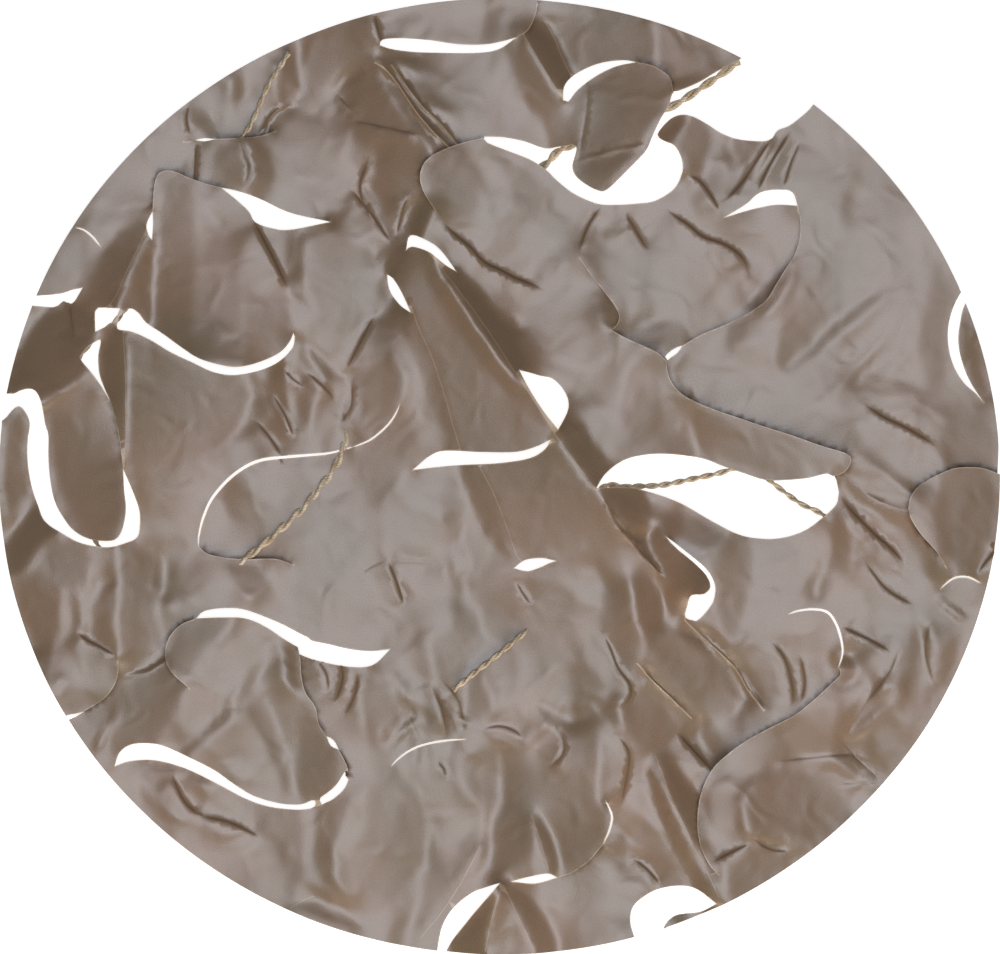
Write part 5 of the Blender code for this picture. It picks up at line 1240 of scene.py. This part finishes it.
# how the cloth lies
onFaces = faces.reshape(-1)
facesOn = np.bincount(onFaces, minlength=count)
middles = plan[faces].mean(axis=1)
inward = np.column_stack([np.bincount(onFaces, np.repeat(middles[:, i], 3), count) for i in (0, 1)])
# a point on a cut counts as on its own side of it
nudged = plan + cloth["nudge"] * (inward / facesOn[:, None] - plan)

slopes = np.zeros((len(faces), 2))
inFacet = np.zeros(len(faces), bool)
for slope, downhill, corners in facets:
    inside = insidePolygon(middles, np.array(corners))
    turn = math.radians(downhill)
    slopes[inside] = (-slope * math.cos(turn), -slope * math.sin(turn))
    inFacet |= inside


def slopesOf(z):
    # the slope of every triangle
    u, v = corner[1] - corner[0], corner[2] - corner[0]
    du, dv = z[faces[:, 1]] - z[faces[:, 0]], z[faces[:, 2]] - z[faces[:, 0]]
    spread = u[:, 0] * v[:, 1] - u[:, 1] * v[:, 0]
    spread = np.where(np.abs(spread) > 1e-4, spread, np.inf)    # slivers count as level
    return np.column_stack([du * v[:, 1] - dv * u[:, 1], dv * u[:, 0] - du * v[:, 0]]) / spread[:, None]


def settle(wanted, strength, rest, pairs, steps):
    # the calmest surface with the slopes of the fold faces, softly pulled to the wanted and the rest heights
    starts, ends, weights = [], [], []
    hold, turned = np.zeros(count), np.zeros(count)
    cross = np.maximum(np.abs(doubleAreas), 1e-9)
    facing = [corner[(i + 2) % 3] - corner[(i + 1) % 3] for i in range(3)]    # the edge facing each corner
    angles = [-0.5 * (facing[(i + 1) % 3] * facing[(i + 2) % 3]).sum(axis=1) / cross for i in range(3)]
    eased = np.minimum(1.0, cloth["sliverLimit"] / np.maximum(np.max(np.abs(angles), axis=0), 1e-9))
    eased *= np.where(inFacet, 1.0, cloth["freeStiffness"])
    for i in range(3):
        starts.append(faces[:, (i + 1) % 3])
        ends.append(faces[:, (i + 2) % 3])
        weights.append(angles[i] * eased)
        across = np.column_stack([-facing[i][:, 1], facing[i][:, 0]])
        turned += np.bincount(faces[:, i], 0.5 * eased * (slopes * across).sum(axis=1), count)
        held = np.where(inFacet, cloth["facetHold"], 1.0)
        hold += np.bincount(faces[:, i], cross / 6 / cloth["slack"] ** 2 * held, count)
    stiff = np.full(len(pairs), cloth["cutStiffness"])
    starts = np.concatenate(starts + [pairs[:, 0]])
    ends = np.concatenate(ends + [pairs[:, 1]])
    weights = np.concatenate(weights + [stiff])
    turned += np.bincount(pairs[:, 0], stiff * steps, count) - np.bincount(pairs[:, 1], stiff * steps, count)
    turned += hold * rest + strength * wanted
    total = np.bincount(starts, weights, count) + np.bincount(ends, weights, count) + hold + strength

    def apply(z):
        out = total * z
        out -= np.bincount(starts, weights * z[ends], count)
        out -= np.bincount(ends, weights * z[starts], count)
        return out

    z = np.array(rest)
    left = turned - apply(z)
    way = left / total
    push = left @ way
    first = push
    for _ in range(cloth["mostRounds"]):
        pressed = apply(way)
        step = push / max(way @ pressed, 1e-12)
        z += step * way
        left -= step * pressed
        ready = left / total
        following = left @ ready
        if following < cloth["settled"] * first:
            break
        way = ready + following / push * way
        push = following
    return z


def smoothed(values, times):
    # each value moves toward the mean of its neighbours'
    starts = np.concatenate([faces[:, i] for i in range(3)])
    ends = np.concatenate([faces[:, (i + 1) % 3] for i in range(3)])
    total = np.bincount(starts, minlength=count) + np.bincount(ends, minlength=count)
    for _ in range(times):
        mean = (np.bincount(starts, values[ends], count) + np.bincount(ends, values[starts], count)) / total
        values = values + cloth["softening"] * (mean - values)
    return values


weight = np.zeros(count)
wanted = np.zeros(count)


def wantHeight(near, heights, strength):
    wanted[near] = (weight[near] * wanted[near] + strength * heights) / (weight[near] + strength)
    weight[near] += strength


for lines, pull in ((folds.values(), cloth["foldPull"]), (lips, cloth["lipPull"])):
    for line in lines:
        near, away, share, side = alongLine(plan, line, cloth["onLine"])
        wantHeight(near, columnAt(line, share, 2), pull)
pairs, steps = [], []
for line in cuts:
    near, away, share, side = alongLine(plan, line, cloth["onLine"])
    beside = alongLine(nudged, line, cloth["besideCut"])
    sideOf = dict(zip(beside[0], beside[3]))
    isLeft = np.array([sideOf.get(i, 1.0) > 0 for i in near])
    left, right = columnAt(line, share, 2), columnAt(line, share, 3)
    wantHeight(near, np.where(isLeft, left, right), cloth["cutPull"])
    partners = {}
    for i, isLeftSide, step in zip(near, isLeft, left - right):
        partners.setdefault(tuple(np.round(plan[i], 3)), {})[bool(isLeftSide)] = (i, step)
    for found in partners.values():
        if len(found) == 2:
            pairs.append((found[True][0], found[False][0]))
            steps.append(float(np.clip(found[True][1], -cloth["highestStep"], cloth["highestStep"])))
pairs, steps = np.array(pairs), np.array(steps)

rest = np.full(count, cloth["restHeight"])
for height, length, seed in cloth["unevenness"]:
    rest += height * waves(plan, length, seed)
underCord = {
    "height": 2.1,      # a cord whose middle is lower than this runs under the cloth
    "gap": 0.1,         # air between the two
    "reach": 16.0,      # how far from it the cloth is lifted
    "flat": 2.0,        # the lifted cloth stays level this far, and then falls this much over the ramp
    "ramp": 14.0,
    "fall": 1.2,
    "flank": 0.8,       # share of the cord's radius over which the cloth has to clear its full height
    "fewest": 3,        # points of a cord that count as a stretch of it
}
lowest = np.full(count, cloth["thickness"] + cloth["overFloor"])
for name, line in cordLines.items():
    radius = cordRoutes[name]["size"] * cord["thickness"] / 2
    isUnder = line[:, 2] < underCord["height"]
    for part in np.split(line, np.nonzero(np.diff(isUnder.astype(int)))[0] + 1):
        if len(part) < underCord["fewest"] or part[0, 2] >= underCord["height"]:
            continue
        near, away, share, side = alongLine(plan, part, underCord["reach"])
        cover = part[0, 2] + radius + cloth["thickness"] + underCord["gap"]
        fall = underCord["fall"] * smoothStep((away - underCord["flat"]) / underCord["ramp"])
        rest[near] = np.maximum(rest[near], cover - fall)
        lowest[near] = np.maximum(lowest[near], cover - np.maximum(away - underCord["flank"] * radius, 0.0))
z = settle(wanted, weight, rest, pairs, steps)
aims = slopes.copy()
for _ in range(cloth["corrections"]):
    missing = np.clip(aims - slopesOf(z), -cloth["largestCorrection"], cloth["largestCorrection"])
    slopes += cloth["correction"] * missing * inFacet[:, None]
    isLow = z < lowest + cloth["nearFloor"]
    z = settle(np.where(isLow, lowest + cloth["liftFromFloor"], wanted),
               np.where(isLow, cloth["floorPull"], weight), rest, pairs, steps)
z = smoothed(z, cloth["smoothing"])
nearFacet = smoothed(np.bincount(onFaces, np.repeat(inFacet, 3), count) / facesOn, cloth["facetBlur"])
swell = cloth["swell"] * waves(plan, cloth["swellLength"], cloth["swellSeed"])
z += swell * (1 - cloth["swellOffFacets"] * nearFacet)
print("folds settled, height", round(float(z.min()), 2), "to", round(float(z.max()), 2), "mm")

# painted shade: a darker colour along the valleys of creases and beside cut edges
paintedShade = np.zeros(count)
for line, (_, left, right, hasHighlight) in zip(creases, creaseRows):
    near, away, share, side = alongLine(nudged, line, cloth["creaseSpread"] * max(left[1], right[1]))
    depth = np.where(side > 0, left[0], right[0])
    width = np.where(side > 0, left[1], right[1])
    shape = smoothStep(away / cloth["creaseWall"])
    shape *= 1 - smoothStep(away / (cloth["creaseSpread"] * width))
    taper = smoothStep(share / cloth["creaseTaper"]) * smoothStep((1 - share) / cloth["creaseTaper"])
    z[near] += cloth["creaseDepth"] * depth * shape * taper
    isRidge = left[0] < 0 and right[0] < 0
    drop = abs(left[0]) + abs(right[0])
    shadeAmount = 0.0 if isRidge else cloth["creaseShade"] * min(1.0, drop / cloth["fullDrop"])
    inner = away < cloth["onCrease"]
    paintedShade[near[inner]] = shadeAmount * taper[inner]

# soft crumpling all over: ridged folds in four directions, mixed by place
warp, warpLength = cloth["warp"]
warped = plan + warp * np.column_stack([waves(plan, warpLength, seed) for seed in cloth["warpSeeds"]])
directions = (0.0, 45.0, 90.0, 135.0)
shares = np.full((count, len(directions)), cloth["crumple"] / 3)
for x, y, radius, strength, angle in bunchedPlaces:
    near = 1 - smoothStep(np.hypot(plan[:, 0] - x, plan[:, 1] - y) / radius)
    for k, direction in enumerate(directions):
        turn = abs((angle - direction + 90) % 180 - 90)
        shares[:, k] += near * strength * max(0.0, 1 - turn / directions[1])
shares *= (1 - cloth["crumpleOffFacets"] * nearFacet)[:, None]
level, sharpness = cloth["crumpleLevel"]
for k, direction in enumerate(directions):
    along = np.array([math.cos(math.radians(direction)), math.sin(math.radians(direction))])
    across = np.array([-along[1], along[0]])
    stretched = np.column_stack([warped @ along / cloth["crumpleLongness"], warped @ across])
    for height, width, seed in (cloth["broadFold"], cloth["narrowFold"]):
        ridges = level - sharpness * np.abs(waves(stretched, width, seed + cloth["seedStep"] * k))
        z += shares[:, k] * height * ridges

# the low side of a cut is drawn under the high one, and gets a painted shade beside it
shift = np.zeros((count, 2))
for line, cut in zip(cuts, cutEdges.values()):
    near, away, share, side = alongLine(nudged, line, cloth["tuckReach"])
    leftIsLow = columnAt(line, share, 2) < columnAt(line, share, 3)
    isLow = (side > 0) == leftIsLow
    near, away, share, leftIsLow = near[isLow], away[isLow], share[isLow], leftIsLow[isLow]
    sideways = np.column_stack([line[:, :2], leftOf(line)])
    toLeft = np.column_stack([columnAt(sideways, share, 2), columnAt(sideways, share, 3)])
    rise = np.abs(columnAt(line, share, 2) - columnAt(line, share, 3))
    inside = smoothStep(share / cloth["tuckTaper"]) * smoothStep((1 - share) / cloth["tuckTaper"])
    pull = cut["tuck"] * (1 - smoothStep(away / cloth["tuckReach"])) * smoothStep(rise / cloth["tuckRise"])
    pull *= inside
    shift[near] += toLeft * np.where(leftIsLow, -pull, pull)[:, None]
    # painted shade on the low side, just past the upper lip, patchy along the edge
    shadeAmount = 1 - smoothStep((away - pull) / cloth["shadeReach"])
    shadeAmount *= smoothStep(rise / cloth["shadeRise"]) * smoothStep(2 * inside)
    patchy = waves(plan[near], cloth["shadeLength"], cloth["shadeSeed"])
    shadeAmount *= np.clip(cloth["shadeShare"] * (1 + patchy), 0.0, 1.0)
    paintedShade[near] = np.maximum(paintedShade[near], shadeAmount)

z = np.maximum(z, lowest)
print("cloth height", round(float(z.min()), 2), "to", round(float(z.max()), 2), "mm")

# a thin smooth coat on a plain weave: brown in its slopes, and a soft lilac sheen where it faces the soft box
taffeta, tree, shader = newMaterial("brown coated taffeta, plain weave")
weaveMap = addNode(tree, "ShaderNodeUVMap", {"uv_map": "weave"})
place = addNode(tree, "ShaderNodeTexCoord")
dye = addNode(tree, "ShaderNodeTexNoise", {},
              {"Vector": place.outputs["Object"], "Scale": 24.0, "Detail": 5.0})  # 40 mm clouds
dyeTone = addNode(tree, "ShaderNodeValToRGB", {}, {"Fac": dye.outputs["Fac"]})
dyeTone.color_ramp.elements[0].position = 0.35
dyeTone.color_ramp.elements[0].color = toLinear("#7a6953")  # duller, more handled cloth
dyeTone.color_ramp.elements[1].position = 0.68
dyeTone.color_ramp.elements[1].color = toLinear("#8a705a")  # fuller dye
edgeAndPaintedLight = addNode(tree, "ShaderNodeAttribute", {"attribute_name": "edgeAndPaintedLight"})    # above 0.7 light cut edge and painted highlight, below 0 painted shade
lightEdgeAndHighlight = addNode(tree, "ShaderNodeMapRange", {},
                  {"Value": edgeAndPaintedLight.outputs["Fac"], "From Min": 0.7, "From Max": 0.95})
withLightEdgesAndHighlights = addNode(tree, "ShaderNodeMix", {"data_type": "RGBA"},
                {"Factor": lightEdgeAndHighlight.outputs["Result"], "A": dyeTone.outputs["Color"],
                 "B": toLinear("#b5a086")})  # cut edges, where the light core of the cloth shows under a painted highlight, and painted highlights along ridges and creases
paintedShadeLine = addNode(tree, "ShaderNodeMapRange", {},
                   {"Value": edgeAndPaintedLight.outputs["Fac"], "From Min": -1.0, "From Max": 0.0})
# real threads are about 0.15 mm apart, and are drawn 0.5 mm apart so that they show
threads = addNode(tree, "ShaderNodeTexNoise", {},
                  {"Vector": weaveMap.outputs["UV"], "Scale": 2000.0, "Detail": 2.0})
threadTone = addNode(tree, "ShaderNodeMapRange", {},
                     {"Value": threads.outputs["Fac"], "From Min": 0.3, "From Max": 0.7,
                      "To Min": 0.86, "To Max": 1.14})
woven = addNode(tree, "ShaderNodeMix", {"data_type": "RGBA", "blend_type": "MULTIPLY"},
                {"Factor": 1.0, "A": withLightEdgesAndHighlights.outputs["Result"], "B": threadTone.outputs["Result"]})
withPaintedShade = addNode(tree, "ShaderNodeMix", {"data_type": "RGBA"},
                 {"Factor": paintedShadeLine.outputs["Result"],
                  "A": toLinear("#4c2f1b"),  # painted shade beside an edge and in creases
                  "B": woven.outputs["Result"]})
tree.links.new(withPaintedShade.outputs["Result"], shader.inputs["Base Color"])
# the painted shade also takes the sheen away
tree.links.new(paintedShadeLine.outputs["Result"], shader.inputs["Specular IOR Level"])
shader.inputs["Roughness"].default_value = 0.33
shader.inputs["IOR"].default_value = 1.5
weaveBump = addNode(tree, "ShaderNodeBump", {},
                    {"Strength": 0.3, "Distance": 0.0001, "Height": threads.outputs["Fac"]})
# fine rumples, about 11 mm apart
rumples = addNode(tree, "ShaderNodeTexNoise", {"noise_type": "RIDGED_MULTIFRACTAL", "normalize": True},
                  {"Vector": weaveMap.outputs["UV"], "Scale": 90.0, "Detail": 1.0, "Distortion": 0.6})
rumpleBump = addNode(tree, "ShaderNodeBump", {},
                     {"Strength": 0.3, "Distance": 0.0008, "Height": rumples.outputs["Fac"],
                      "Normal": weaveBump.outputs["Normal"]})
tree.links.new(rumpleBump.outputs["Normal"], shader.inputs["Normal"])

panel = newPiece("clothPanel", np.column_stack([plan + shift, z]), faces, taffeta)
mesh = panel.data
mesh.shade_smooth()
loops = np.empty(len(mesh.loops), int)
mesh.loops.foreach_get("vertex_index", loops)
weave = mesh.uv_layers.new(name="weave")
weave.data.foreach_set("uv", (plan[loops] * mm).reshape(-1))
sides = np.sort(np.concatenate([faces[:, [0, 1]], faces[:, [1, 2]], faces[:, [2, 0]]]), axis=1)
sides, times = np.unique(sides, axis=0, return_counts=True)
onEdge = np.zeros(count, bool)
onEdge[sides[times == 1].reshape(-1)] = True
# cut edges and gap lips get the light edge colour, partly their own colour and partly a painted highlight
edgeAndPaintedLightValues = np.where(onEdge & (outwardShare(plan) <= cloth["rimEnds"]), 1.0, 0.0)
hasPaintedShade = paintedShade > cloth["leastShade"]
edgeAndPaintedLightValues[hasPaintedShade] = -paintedShade[hasPaintedShade]
# painted highlights along the listed fold ridges and creases
highlightLines = [(folds[name], cloth["foldHighlight"]) for name in highlightedFolds]
highlightLines += [(line, cloth["creaseHighlight"]) for line, row in zip(creases, creaseRows) if row[-1]]
for line, highlight in highlightLines:
    edgeAndPaintedLightValues[alongLine(plan, line, cloth["onCrease"])[0]] = highlight
edgeAndPaintedLightAttribute = mesh.attributes.new("edgeAndPaintedLight", "FLOAT", "POINT")
edgeAndPaintedLightAttribute.data.foreach_set("value", edgeAndPaintedLightValues)
bpy.ops.object.select_all(action="DESELECT")
panel.select_set(True)
bpy.context.view_layer.objects.active = panel
wall = panel.modifiers.new("wall", "SOLIDIFY")
wall.thickness = cloth["thickness"] * mm
wall.offset = -1.0
wall.use_even_offset = False
bpy.ops.object.modifier_apply(modifier="wall")
bpy.ops.object.shade_smooth_by_angle(angle=math.radians(cloth["sharpAngle"]))
print("cloth ready,", len(panel.data.polygons), "faces")

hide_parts("cloth_panel")
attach(panel, "root")
